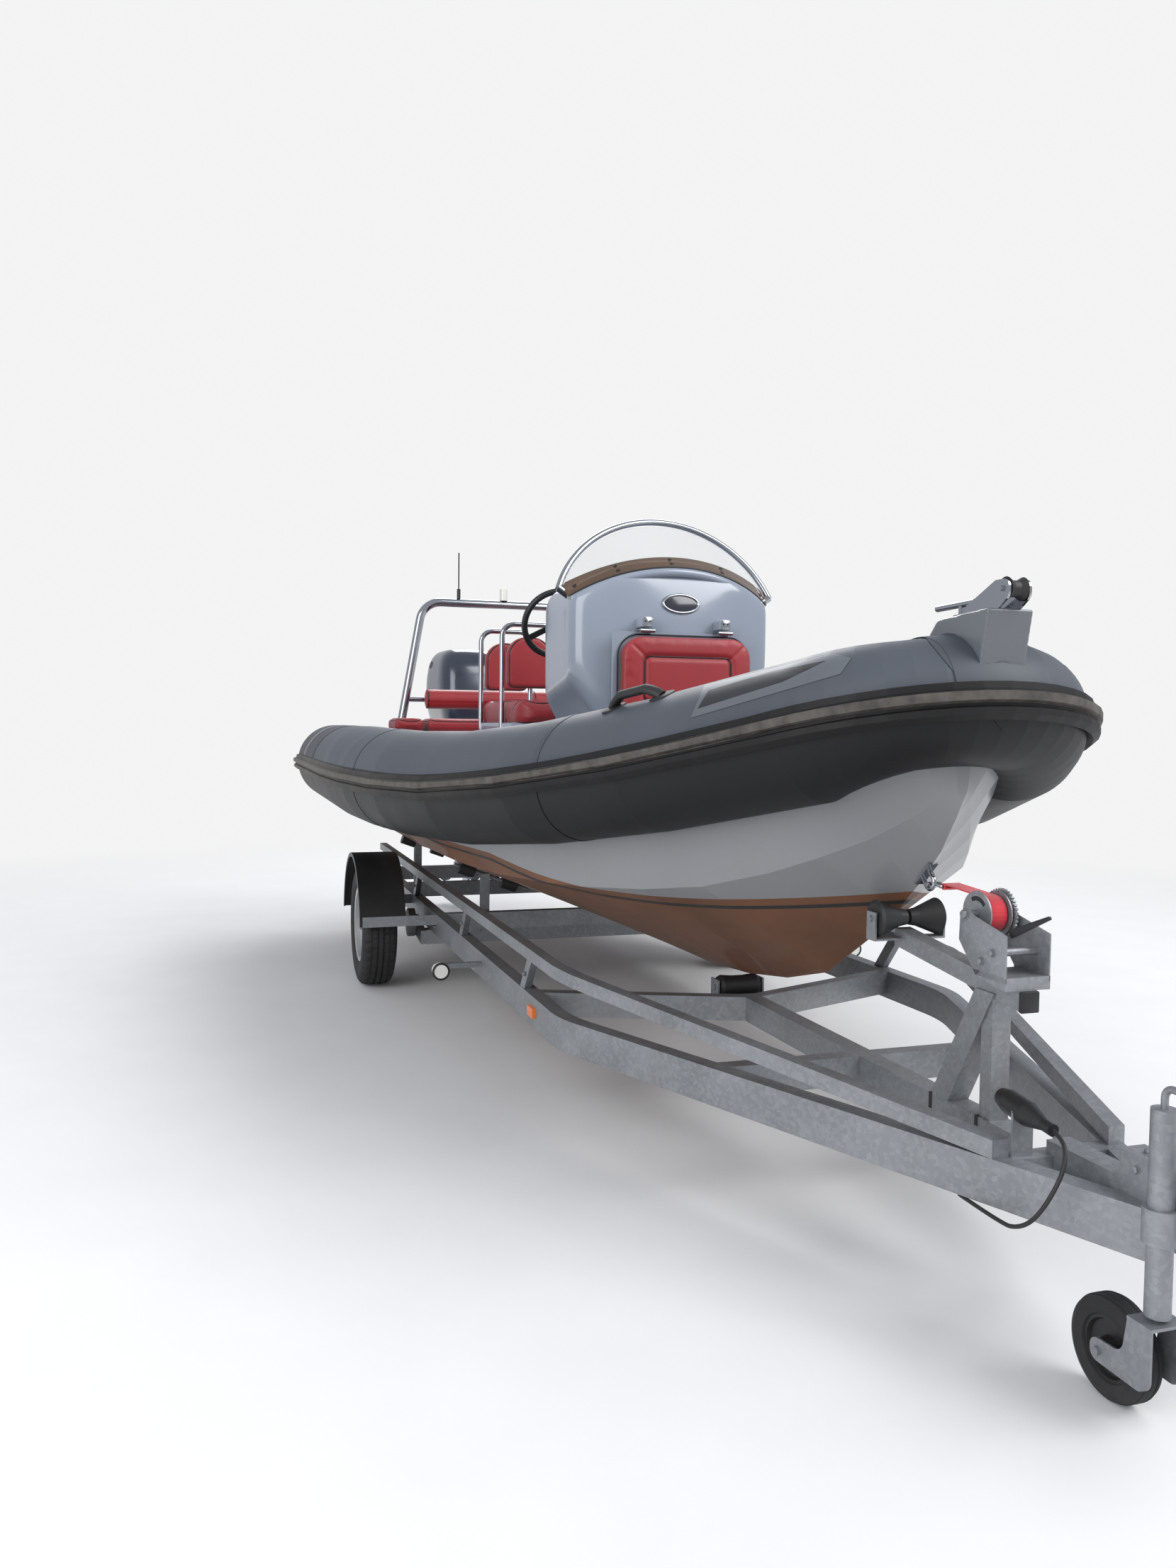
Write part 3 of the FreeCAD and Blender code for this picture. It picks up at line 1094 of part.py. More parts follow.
cushion = pillow(at(FRONT + GAP + 18, -HALF_HATCH, HATCH_LOW + 6), at(FRONT + GAP + 78, HALF_HATCH, HZ - 12), 16)
node(solid("HatchCushion", cushion), "hatch_cushion")
node(solid("ConsoleRails", Part.makeCompound([screen_hoop] + fixed_leaves)), "console_rails")

# Forward seat in front of the console
seat = rounded_prism([at(FRONT - 110, -282, FLOOR), at(2010, -230, FLOOR), at(2010, 230, FLOOR), at(FRONT - 110, 282, FLOOR)],
                     [0, 60, 60, 0], Vector(0, 0, 1205 - FLOOR)).cut(console)
seat = max(seat.Solids, key=lambda one: one.Volume)
node(solid("ForwardCushion", pillow(at(FRONT + 2, -280, 1205), at(2000, 280, 1278), 22)), "forward_cushion")

# Steering column
LEAN = math.radians(mm("wheel_rake"))
WHEEL_MIDDLE = at(mm("wheel_station"), mm("wheel_side"), mm("wheel_height"))
AHEAD = Vector(math.cos(LEAN), 0, -math.sin(LEAN))
column = Part.makeCylinder(32, 190, WHEEL_MIDDLE + AHEAD * 45, AHEAD)
column = column.fuse(Part.makeCylinder(9, 100, WHEEL_MIDDLE - AHEAD * 8, AHEAD)).cut(console)
node(solid("SteeringColumn", max(column.removeSplitter().Solids, key=lambda one: one.Volume)), "steering_column")
HELM = mm("wheel_radius")
local = FreeCAD.Placement(WHEEL_MIDDLE, FreeCAD.Rotation(Vector(0, 1, 0), Vector(), AHEAD, "ZXY"))
ring = Part.makeTorus(HELM - 14, 14)
helm_parts = [ring, Part.makeCylinder(42, 26, Vector(0, 0, -10))]
for spoke in (90, 210, 330):
    bar = Part.makeBox(HELM - 24, 26, 7, Vector(14, -13, -3))
    bar.rotate(Vector(), Vector(0, 0, 1), spoke)
    helm_parts.append(bar)
helm = union(helm_parts).cut(Part.makeCylinder(9.05, 60, Vector(0, 0, -8.5)))
helm.Placement = local
node(solid("SteeringWheel", helm), "steering_wheel")

# Saddle seats: pods, saddles, hoops and backrests, one pair each side
SEAT_Y = mm("seat_side")
S_BACK = mm("saddle_back")
S_FRONT = mm("saddle_front")
S_HALF = mm("saddle_width") / 2
S_TOP = mm("saddle_top")
S_LOW = S_TOP - mm("saddle_thick")
pod_outline = [at(S_BACK - 30, SEAT_Y - 135, FLOOR), at(S_FRONT - 60, SEAT_Y - 135, FLOOR),
               at(S_FRONT - 60, SEAT_Y + 135, FLOOR), at(S_BACK - 30, SEAT_Y + 135, FLOOR)]
pod = rounded_prism(pod_outline, [40, 70, 70, 40], Vector(0, 0, S_LOW - FLOOR))
saddle_side = rounded_prism([at(S_BACK, 0, S_LOW), at(S_FRONT, 0, S_LOW), at(S_FRONT, 0, S_TOP - 8),
                             at(S_BACK, 0, S_TOP)], [25, 28, 68, 30], Vector(0, 700, 0))
saddle_end = rounded_prism([at(S_BACK - 5, SEAT_Y - S_HALF, S_LOW - 5), at(S_BACK - 5, SEAT_Y + S_HALF, S_LOW - 5),
                            at(S_BACK - 5, SEAT_Y + S_HALF, S_TOP), at(S_BACK - 5, SEAT_Y - S_HALF, S_TOP)],
                           [0, 0, 52, 52], Vector(900, 0, 0))
saddle_plan = rounded_prism([at(S_BACK, SEAT_Y - S_HALF, S_LOW - 1), at(S_FRONT, SEAT_Y - S_HALF, S_LOW - 1),
                             at(S_FRONT, SEAT_Y + S_HALF, S_LOW - 1), at(S_BACK, SEAT_Y + S_HALF, S_LOW - 1)],
                            [30, 100, 100, 30], Vector(0, 0, 200))
saddle = saddle_side.common(saddle_end).common(saddle_plan)
HOOPS = (mm("hoop_front"), mm("hoop_back"))
hoop_half = (mm("hoop_width") - mm("hoop_tube")) / 2
hoops = []
pads = []
for station in HOOPS:
    bar = bent_tube([at(station, SEAT_Y - hoop_half, FLOOR), at(station, SEAT_Y - hoop_half, mm("hoop_top") - 12),
                     at(station, SEAT_Y + hoop_half, mm("hoop_top") - 12), at(station, SEAT_Y + hoop_half, FLOOR)],
                    [62, 62], mm("hoop_tube") / 2)
    bar = bar.cut(pod)
    hoops.append(max(bar.Solids, key=lambda one: one.Volume))
    pad = pillow(at(station - 28, SEAT_Y - hoop_half + 13, S_TOP + 45), at(station + 34, SEAT_Y + hoop_half - 13,
                                                                        mm("hoop_top") - 62), 22)
    pads.append(pad)
saddle = saddle.cut(Part.makeCompound(hoops))
node(solid("Saddles", Part.makeCompound(both_sides(max(saddle.Solids, key=lambda one: one.Volume)))), "saddles")
node(solid("SeatHoops", Part.makeCompound([side for one in hoops for side in both_sides(one)])), "seat_hoops")
node(solid("Backrests", Part.makeCompound([side for one in pads for side in both_sides(one)])), "backrests")

# Stern bench: locker, cushion in three, arch and roll backrest
BENCH_F = mm("bench_front")
BENCH_LOW = mm("bench_top") - mm("bench_pad")
BENCH = BEAM_HALF - REACH - 2 * mm("tube_radius_aft") - mm("bench_room")
SEAM = BENCH - mm("bench_side_pad")
locker_half = BENCH - 35
locker = rounded_prism([at(-1420, -locker_half, FLOOR), at(BENCH_F - 20, -locker_half, FLOOR),
                        at(BENCH_F - 20, locker_half, FLOOR), at(-1420, locker_half, FLOOR)], [30, 30, 30, 30], Vector(0, 0, BENCH_LOW - FLOOR))
locker = locker.cut(tube_space)
locker = max(locker.Solids, key=lambda one: one.Volume)
node(solid("SeatBases", Part.makeCompound([seat, locker] + both_sides(pod))), "seat_bases")
pads = [pillow(at(mm("bench_back"), low_y, BENCH_LOW), at(BENCH_F, high_y, mm("bench_top")), 20)
        for low_y, high_y in ((-BENCH, -SEAM), (2 - SEAM, SEAM - 2), (SEAM, BENCH))]
node(solid("BenchCushion", Part.makeCompound(pads)), "bench_cushion")
ARCH = mm("arch_station")
arch_r = mm("arch_tube") / 2
foot_y = mm("arch_half_foot")
head_y = mm("arch_half_top")
arch = bent_tube([at(ARCH, -foot_y, BENCH_LOW), at(ARCH, -head_y, mm("arch_top")), at(ARCH, head_y, mm("arch_top")),
                  at(ARCH, foot_y, BENCH_LOW)], [mm("arch_corner"), mm("arch_corner")], arch_r)
slope = (foot_y - head_y) / (mm("arch_top") - BENCH_LOW)


def leg_y(height):
    return foot_y - slope * (height - BENCH_LOW)


braces = []
for sign in (-1, 1):
    braces.append(rod(at(ARCH - 110, sign * (leg_y(BENCH_LOW) - 6), BENCH_LOW), at(ARCH, sign * leg_y(1690), 1690), 17))
arch = union([arch] + braces)
arch = arch.common(plate((ARCH - 400, -1000, BENCH_LOW), (ARCH + 400, 1000, 2400)))
BOLT_Z = mm("bolster_height")
BOLT_X = mm("bolster_station")
BOLT_R = mm("bolster_radius")
bolster = Part.makeCylinder(BOLT_R, 2 * mm("bolster_half"), at(BOLT_X, -mm("bolster_half"), BOLT_Z), Vector(0, 1, 0))
bolster = bolster.makeFillet(20, [edge for edge in bolster.Edges if edge.Closed and isinstance(edge.Curve, Part.Circle)])
cross_bar = Part.makeCylinder(16, 2 * leg_y(BOLT_Z), at(ARCH, -leg_y(BOLT_Z), BOLT_Z), Vector(0, 1, 0))
holders = [rod(at(ARCH, y, BOLT_Z), at(BOLT_X - BOLT_R + 4, y, BOLT_Z), 14) for y in (-360, 360)]
arch = union([arch, cross_bar] + holders).cut(bolster)
node(solid("Arch", max(arch.Solids, key=lambda one: one.Volume)), "arch")
node(solid("Bolster", bolster), "bolster")
lamp = Part.makeCylinder(24, 70, at(ARCH, 0, mm("arch_top") + arch_r))
aerial = Part.makeCylinder(11, 60, at(ARCH, -282, mm("arch_top") + arch_r)).fuse(
    Part.makeCylinder(4, 220, at(ARCH, -282, mm("arch_top") + arch_r + 60))).removeSplitter()
node(solid("ArchFittings", Part.makeCompound([lamp, aerial])), "arch_fittings")

# Bow plinth, fairleads, roller and cleat
def bow(behind, across, above):
    """A point by its distance behind the strake's tip, its offset to port and its height above the collar's middle."""
    return at(TIP - behind, across, BOW_Z + above)


def bow_plate(low, high):
    """A box between two corners given as bow() takes them; low lies further aft."""
    first, last = bow(*low), bow(*high)
    return Part.makeBox(last.x - first.x, last.y - first.y, last.z - first.z, first)


BOW_Z = mm("collar_height") + mm("sheer_rise")
plinth = prism([bow(272, -66, 22), bow(54, -66, 22), bow(53, -66, 82), bow(28, -66, 208), bow(231, -66, 197),
                bow(266, -66, 160)], Vector(0, 132, 0))
plinth_plan = rounded_prism([bow(279, -58, 22), bow(24, -62, 22), bow(24, 62, 22), bow(279, 58, 22)],
                            [24, 12, 12, 24], Vector(0, 0, 300))
plinth = plinth.common(plinth_plan).cut(collar_tube)
plinth = max(plinth.Solids, key=lambda one: one.BoundBox.ZMax)
node(solid("BowPlinth", plinth), "bow_plinth")
cheeks = []
ROLLER = bow(mm("roller_behind"), 0, mm("roller_above"))
for sign in (-1, 1):
    inner_y = 25 if sign > 0 else -31
    cheek = rounded_prism([bow(164, inner_y, 187), bow(64, inner_y, 187), bow(0, inner_y, 232), bow(0, inner_y, 272),
                           bow(48, inner_y, 272), bow(156, inner_y, 222)], [0, 0, 19, 19, 12, 8], Vector(0, 6, 0))
    cheeks.append(cheek)
floor_plate = bow_plate((164, -31, 182), (64, 31, 212)).cut(prism(
    [bow(204, -40, 208), bow(4, -40, 219), bow(4, -40, 282), bow(204, -40, 282)], Vector(0, 80, 0)))
pin = Part.makeCylinder(6, 74, ROLLER - Vector(0, 37, 0), Vector(0, 1, 0))
fairlead = union(cheeks + [floor_plate, pin]).cut(plinth)
fairlead = max(fairlead.Solids, key=lambda one: one.Volume)
anchor_roller = turned(wheel_profile(ROLLER, [(-22, 6.3), (-22, 27), (-8, 19), (8, 19), (22, 27), (22, 6.3)]),
                       ROLLER, Vector(0, 1, 0))
node(solid("BowRoller", anchor_roller), "bow_roller")
cleat_base = bow_plate((220, -20, 172), (172, 20, 208)).cut(plinth)
cleat_base = max(cleat_base.Solids, key=lambda one: one.BoundBox.ZMax)
cleat = union([cleat_base, bow_plate((218, -7, 202), (206, 7, 232)), bow_plate((188, -7, 202), (176, 7, 232)),
               Part.makeCylinder(8, 150, bow(314, 0, 232), Vector(1, 0, 0.02))])
node(solid("BowFittings", Part.makeCompound([bow_eye, fairlead, cleat])), "bow_fittings")

# Outboard engine: clamp bracket, swivel, leg, cowl, engine block and propeller
TX = mm("tilt_station")
TZ = mm("tilt_height")
SX = mm("steer_station")
clamp_parts = []
for sign in (-1, 1):
    y = 98 if sign > 0 else -122
    clamp_parts.append(prism([at(TRANSOM, y, 760), at(TRANSOM - 62, y, 800), at(TX - 34, y, TZ - 20), at(TX - 28, y, TZ + 28),
                              at(TX + 24, y, TZ + 34), at(TRANSOM, y, 1010)], Vector(0, 24, 0)))
cap = plate((TRANSOM - 30, -122, mm("transom_cut")), (TRANSOM + 85, 122, mm("transom_cut") + 16))
inner = plate((TRANSOM + 65, -122, 890), (TRANSOM + 85, 122, mm("transom_cut") + 16))
back = plate((TRANSOM - 14, -122, 760), (TRANSOM, 122, mm("transom_cut") + 16))
clamp = union(clamp_parts + [cap, inner, back]).cut(Part.makeCylinder(15.05, 300, at(TX, -150, TZ), Vector(0, 1, 0)))
node(solid("ClampBracket", clamp), "clamp_bracket")
tilt_tube = Part.makeCylinder(34, 180, at(TX, -90, TZ), Vector(0, 1, 0))
tilt_pin = Part.makeCylinder(15, 252, at(TX, -126, TZ), Vector(0, 1, 0))
swivel_block = prism([at(SX + 20, -70, 700), at(SX + 60, -70, 720), at(TX + 5, -70, TZ - 34), at(TX + 5, -70, TZ + 34),
                      at(SX - 10, -70, 1040), at(SX - 10, -70, 700)], Vector(0, 140, 0))
swivel_tube = Part.makeCylinder(46, 340, at(SX, 0, 700))
swivel_part = union([tilt_tube, tilt_pin, swivel_block, swivel_tube]).cut(Part.makeCylinder(26.05, 500, at(SX, 0, 650)))
swivel_part = swivel_part.cut(plate((TX - 60, -150, TZ - 60), (TX + 60, -97.9, TZ + 60)).cut(
    Part.makeCylinder(15.01, 400, at(TX, -200, TZ), Vector(0, 1, 0))))
node(solid("SwivelBracket", swivel_part), "swivel_bracket")
king_pin = Part.makeCylinder(26, 560, at(SX, 0, 640))
yoke_low = plate((SX - 210, -60, 640), (SX + 45, 60, 690))
yoke_high = plate((SX - 210, -60, 1052), (SX + 45, 60, 1150))
MID = SX - 190
PZ = mm("prop_height")
VENT_Z = PZ + mm("prop_radius") + 9
mid_plan = rounded_outline([at(MID - 110, -70, VENT_Z), at(MID + 110, -55, VENT_Z), at(MID + 110, 55, VENT_Z), at(MID - 110, 70, VENT_Z)],
                           [40, 50, 50, 40])
mid_leg = Part.Face(mid_plan).extrude(Vector(0, 0, 1210 - VENT_Z))
tray_plan = rounded_outline([at(mm("cowl_back") + 60, -190, 1205), at(mm("cowl_front") - 10, -190, 1205),
                             at(mm("cowl_front") - 10, 190, 1205), at(mm("cowl_back") + 60, 190, 1205)], [110, 80, 80, 110])
tray = Part.Face(tray_plan).extrude(Vector(0, 0, 35))
vent = rounded_prism([at(MID - 330, -105, VENT_Z), at(MID + 130, -70, VENT_Z), at(MID + 130, 70, VENT_Z),
                      at(MID - 330, 105, VENT_Z)],
                     [60, 40, 40, 60], Vector(0, 0, 9))
strut = rounded_prism([at(MID - 130, -26, 255), at(MID + 95, -20, 255), at(MID + 95, 20, 255), at(MID - 130, 26, 255)],
                      [22, 18, 18, 22], Vector(0, 0, VENT_Z - 250))
torpedo = Part.makeCylinder(52, 300, at(MID - 185, 0, PZ), Vector(1, 0, 0))
nose = Part.makeCone(52, 14, 110, at(MID + 115, 0, PZ), Vector(1, 0, 0))
skeg = prism([at(MID - 130, -6, PZ - 40), at(MID - 150, -6, 92), at(MID - 60, -6, 88), at(MID + 90, -6, PZ - 40)],
             Vector(0, 12, 0))
prop_shaft = Part.makeCylinder(10, 160, at(MID - 340, 0, PZ), Vector(1, 0, 0))
leg = union([king_pin, yoke_low, yoke_high, mid_leg, tray, vent, strut, torpedo, nose, skeg, prop_shaft])
leg = leg.cut(plate((SX - 50, -49, 691), (SX + 80, 49, 1051)).cut(Part.makeCylinder(26.02, 600, at(SX, 0, 600))))
node(solid("EngineLeg", leg), "engine_leg")
BACK_C = mm("cowl_back")
FRONT_C = mm("cowl_front")
HALF_C = mm("cowl_half")
# Cowl levels: height, back, front, half width, corner radius
COWL = ((1240, 55, -5, 0.80, 100), (1400, 5, 10, 0.96, 115), (1560, 0, 0, 1.0, 120), (1720, 25, -30, 0.96, 115),
        (mm("cowl_top") - 22, 90, -90, 0.82, 100), (mm("cowl_top"), 140, -140, 0.68, 80))


def cowl_wire(level, inset):
    height, back_in, front_out, share, radius = level
    half = HALF_C * share - inset
    x0 = BACK_C + back_in + inset
    x1 = FRONT_C + front_out - inset
    return rounded_outline([at(x0, -half, height), at(x1, -half * 0.86, height), at(x1, half * 0.86, height),
                            at(x0, half, height)], [radius - inset] * 4)


cowl = Part.makeLoft([cowl_wire(level, 0) for level in COWL], True, True)
hollow_levels = [COWL[0]] + list(COWL[1:-1])
inner = Part.makeLoft([cowl_wire(level, 7) for level in hollow_levels], True, True)
node(solid("Cowl", cowl.cut(inner)), "cowl")
block = plate((BACK_C + 150, -150, 1240), (FRONT_C - 160, 150, 1690))
node(solid("EngineBlock", block), "engine_block")
PROP = at(mm("prop_station"), 0, PZ)
hub = Part.makeCylinder(42, 96, PROP - Vector(48, 0, 0), Vector(1, 0, 0))
hub = hub.fuse(Part.makeCone(26, 42, 24, PROP - Vector(72, 0, 0), Vector(1, 0, 0)))
BLADE = ((34, 84, 52, 12), (75, 120, 40, 9), (120, 130, 30, 7), (mm("prop_radius") - 12, 92, 24, 5),
         (mm("prop_radius"), 40, 22, 4))


def blade_wire(radius, chord, pitch, thick):
    turn = math.radians(pitch)
    along = Vector(math.sin(turn), math.cos(turn), 0) * (chord / 2)
    across = Vector(math.cos(turn), -math.sin(turn), 0) * (thick / 2)
    middle = Vector(0, 0, radius)
    return polygon([middle - along - across * 0.4, middle - across, middle + along - across * 0.4,
                    middle + along + across * 0.4, middle + across, middle - along + across * 0.4])


blade = Part.makeLoft([blade_wire(*row) for row in BLADE], True, True)
blades = []
for turn in (0, 120, 240):
    one = blade.copy()
    one.rotate(Vector(), Vector(1, 0, 0), turn)
    one.translate(PROP)
    blades.append(one)
prop = union([hub] + blades).cut(Part.makeCylinder(10.05, 300, PROP - Vector(100, 0, 0), Vector(1, 0, 0)))
node(solid("Propeller", prop), "propeller")

doc.recompute()
for piece in doc.Objects:
    if "Invalid" in piece.State or "Error" in piece.State:
        raise RuntimeError(f"{piece.Label} did not rebuild: {piece.State}")
    shape = getattr(piece, "Shape", None)
    if shape is not None and not shape.isNull() and not shape.isValid():
        raise RuntimeError(f"{piece.Label} is not a valid shape")
os.makedirs("parts", exist_ok=True)
for piece in NODES:
    piece.Shape.exportStep(f"parts/{piece.Label}.step")
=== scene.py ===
"""Studio dressing for a rigid inflatable boat that stands on its road trailer."""
import math

import bmesh
import bpy
from mathutils import Matrix, Vector
from mathutils.bvhtree import BVHTree


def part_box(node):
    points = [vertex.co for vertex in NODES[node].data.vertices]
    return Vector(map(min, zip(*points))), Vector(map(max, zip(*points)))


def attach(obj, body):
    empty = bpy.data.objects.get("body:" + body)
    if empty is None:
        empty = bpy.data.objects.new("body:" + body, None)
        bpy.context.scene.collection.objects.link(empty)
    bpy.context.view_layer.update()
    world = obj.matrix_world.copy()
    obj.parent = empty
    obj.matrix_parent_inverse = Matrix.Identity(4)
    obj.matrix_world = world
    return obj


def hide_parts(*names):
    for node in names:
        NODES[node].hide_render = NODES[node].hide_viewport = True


bl_info = {
    "name": "Boat and Trailer Dressing",
    "version": (1, 0, 0),
    "blender": (4, 5, 0),
    "location": "View3D > Sidebar > Boat",
    "description": "Materials, upholstery, fittings and a studio for an inflatable boat on its trailer",
    "category": "Object",
}

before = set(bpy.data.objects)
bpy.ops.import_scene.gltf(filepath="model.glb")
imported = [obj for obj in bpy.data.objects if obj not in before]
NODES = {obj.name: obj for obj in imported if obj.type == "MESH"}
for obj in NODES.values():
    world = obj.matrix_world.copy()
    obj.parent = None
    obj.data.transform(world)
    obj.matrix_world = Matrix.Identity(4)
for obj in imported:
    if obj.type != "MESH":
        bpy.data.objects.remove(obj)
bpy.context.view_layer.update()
ROOT = "boat_and_trailer"
FINISHES = {}
MADE = {}
X, Y, Z = Vector((1, 0, 0)), Vector((0, 1, 0)), Vector((0, 0, 1))
SIDES = ((-1, "Starboard"), (1, "Port"))
AXLE = -0.805

# photograph in pixels; camera in millimetres, degrees, and a station, an offset and a height
PHOTO = (1659, 2212)
FOCAL = 1650.0
SENSOR = 36.0
YAW, PITCH, ROLL = 17.85, 2.8, 0.645
EYE_PLACE = (5.82, -1.726, 1.287)

# painted lines of the collar, the strake and the hull
SHEER_START = 1.224
SHEER_SPAN = 2.380
SHEER_RISE = 0.310
COLLAR_HEIGHT = 1.048
BLACK_BELOW = 0.052
STRAKE_RIB = (-0.001, 0.0235)
STRAKE_WEAR = (-2.4, 1.6)
PAINT_LEVEL_TO = 1.6
PAINT_MIDDLE = 2.3
PAINT_CURVE, PAINT_SLOPE, PAINT_HEIGHT = 0.1102, 0.0107, 0.7695
# the hull's dark line below the paint line is painted shadow of a spray rail
PAINT_SHADOW_LINE = (-0.030, -0.020)


# places
def at(station, across=0.0, height=0.0):
    """A point by its station forward of the wheel axle, its offset to port and its height."""
    return Vector((AXLE + station, across, height))


def eye_matrix():
    """The camera's place and turn."""
    yaw = math.radians(YAW)
    pitch = math.radians(PITCH)
    look = Vector((-math.cos(yaw) * math.cos(pitch), math.sin(yaw) * math.cos(pitch), -math.sin(pitch)))
    turn = look.to_track_quat("-Z", "Y").to_matrix().to_4x4()
    return Matrix.Translation(at(*EYE_PLACE)) @ turn @ Matrix.Rotation(math.radians(ROLL), 4, "Z")


EYE = eye_matrix()


def sight(pixel):
    """The direction of a photograph's pixel from the camera."""
    local = Vector(((pixel[0] - PHOTO[0] / 2) / FOCAL, (PHOTO[1] / 2 - pixel[1]) / FOCAL, -1.0))
    return (EYE.to_3x3() @ local).normalized()


def skin(piece):
    """A search tree over a piece's surface."""
    mesh = piece.data
    return BVHTree.FromPolygons([vert.co for vert in mesh.vertices], [face.vertices for face in mesh.polygons])


def seen(pixel, piece):
    """Where the camera's line through a pixel, or the first below it, meets a piece, and its direction."""
    tree = skin(piece)
    for drop in range(0, 60, 3):
        line = sight((pixel[0], pixel[1] + drop))
        place, normal = tree.ray_cast(EYE.translation, line)[:2]
        if place is not None:
            return place, normal if normal.dot(line) < 0 else -normal
    raise RuntimeError(f"pixel {pixel} doesn't meet {piece.name}")


def on_side(pixel, across):
    """Where the camera's line through a pixel crosses an upright plane along the boat."""
    line = sight(pixel)
    return EYE.translation + line * ((across - EYE.translation.y) / line.y)


def sight_plane(first, second):
    """The plane through the camera and two pixels; it faces the right of the line from first to second."""
    return EYE.translation.copy(), sight(second).cross(sight(first)).normalized()


def sided(vector, sign):
    """A place or direction as it is, or mirrored across the centre line where the sign is -1."""
    return Vector((vector.x, sign * vector.y, vector.z))


def ellipse(middle, across, upward, half_wide, half_high, steps):
    """Points round an ellipse in the plane of two directions."""
    points = []
    for step in range(steps):
        turn = 2 * math.pi * step / steps
        points.append(middle + across * (half_wide * math.cos(turn)) + upward * (half_high * math.sin(turn)))
    return points


def spoke(radius, turn, across):
    """A place round a crosswise axis, by its distance, its turn and its offset to port."""
    return Vector((radius * math.cos(turn), across, radius * math.sin(turn)))


def upright(station, middle, half_wide, foot, top):
    """The corners of an upright rectangle across the boat."""
    corners = ((-1, foot), (1, foot), (1, top), (-1, top))
    return [at(station, middle + side * half_wide, height) for side, height in corners]


# shapes
def new_object(name, mesh, material, body=ROOT, smooth=None):
    """Links a mesh, gives it a material, and lets it ride on a body."""
    piece = bpy.data.objects.new(name, mesh)
    bpy.context.collection.objects.link(piece)
    if material is not None:
        piece.data.materials.clear()
        piece.data.materials.append(material)
    if smooth is not None:
        smooth_by_angle(piece, smooth)
    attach(piece, body)
    return piece


def smooth_by_angle(piece, degrees):
    """Shades a mesh smooth except at edges sharper than an angle."""
    form = bmesh.new()
    form.from_mesh(piece.data)
    limit = math.radians(degrees)
    for face in form.faces:
        face.smooth = True
    for edge in form.edges:
        edge.smooth = len(edge.link_faces) == 2 and edge.calc_face_angle(0.0) < limit
    form.to_mesh(piece.data)
    form.free()


def shape_mesh(name, verts, faces):
    """A mesh from points and faces, its normals outward."""
    mesh = bpy.data.meshes.new(name)
    mesh.from_pydata([tuple(v) for v in verts], [], faces)
    form = bmesh.new()
    form.from_mesh(mesh)
    bmesh.ops.remove_doubles(form, verts=form.verts, dist=1e-6)
    bmesh.ops.recalc_face_normals(form, faces=form.faces)
    form.to_mesh(mesh)
    form.free()
    return mesh


def swept(name, path, radius, material, body=ROOT, ring=12, cyclic=False, flat=1.0, up=None):
    """A bar along points: round, or flattened across a given direction."""
    count = len(path)
    verts = []
    side = None
    for index, point in enumerate(path):
        before = path[index - 1] if index or cyclic else path[0]
        after = path[(index + 1) % count] if index < count - 1 or cyclic else path[-1]
        ahead = (after - before).normalized()
        side = ahead.orthogonal() if side is None else side
        if up is not None:
            side = ahead.cross(up)
        side = (side - ahead * side.dot(ahead)).normalized()
        rise = ahead.cross(side)
        for step in range(ring):
            turn = 2 * math.pi * step / ring
            verts.append(point + side * (radius * math.cos(turn)) + rise * (radius * flat * math.sin(turn)))
    faces = []
    for index in range(count if cyclic else count - 1):
        a = index * ring
        b = ((index + 1) % count) * ring
        faces += [(a + s, a + (s + 1) % ring, b + (s + 1) % ring, b + s) for s in range(ring)]
    if not cyclic:
        faces += [tuple(range(ring)), tuple(range((count - 1) * ring, count * ring))]
    return new_object(name, shape_mesh(name, verts, faces), material, body, 60)


def turned(name, profile, centre, axis, material, body=ROOT, steps=48):
    """A closed profile of (along, radius) pairs turned about an axis through a centre."""
    axis = Vector(axis).normalized()
    side = axis.orthogonal().normalized()
    up = axis.cross(side)
    verts = []
    for step in range(steps):
        turn = 2 * math.pi * step / steps
        out = side * math.cos(turn) + up * math.sin(turn)
        verts += [Vector(centre) + axis * along + out * radius for along, radius in profile]
    count = len(profile)
    faces = []
    for step in range(steps):
        a = step * count
        b = ((step + 1) % steps) * count
        faces += [(a + i, a + (i + 1) % count, b + (i + 1) % count, b + i) for i in range(count)]
    return new_object(name, shape_mesh(name, verts, faces), material, body, 35)


def prism(name, outline, along, material, body=ROOT, bevel=0.0):
    """A flat outline pushed along a vector, with its edges softened."""
    verts, faces = slab([Vector(point) for point in outline], Vector(along))
    piece = new_object(name, shape_mesh(name, verts, faces), material, body)
    if bevel:
        rounder = piece.modifiers.new("Rounding", "BEVEL")
        rounder.width = bevel
        rounder.segments = 2
        rounder.limit_method = "ANGLE"
        apply_modifiers(piece)
    smooth_by_angle(piece, 35)
    return piece


def apply_modifiers(piece):
    """Keeps what a piece's modifiers show and takes the modifiers off."""
    bpy.context.view_layer.update()
    graph = bpy.context.evaluated_depsgraph_get()
    done = bpy.data.meshes.new_from_object(piece.evaluated_get(graph))
    old = piece.data
    piece.modifiers.clear()
    piece.data = done
    bpy.data.meshes.remove(old)


def thickened(piece, thick, offset):
    """Gives a sheet its thickness: outward at 1, to both sides at 0, inward at -1."""
    thicken = piece.modifiers.new("Thickness", "SOLIDIFY")
    thicken.thickness = thick
    thicken.offset = offset
    apply_modifiers(piece)


def voxels(piece, size):
    """Sets an even mesh over a piece, of cells of one size."""
    grid = piece.modifiers.new("Voxels", "REMESH")
    grid.mode = "VOXEL"
    grid.voxel_size = size


def stand_in(node):
    """Hides a solid that a piece takes the place of."""
    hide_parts(node)


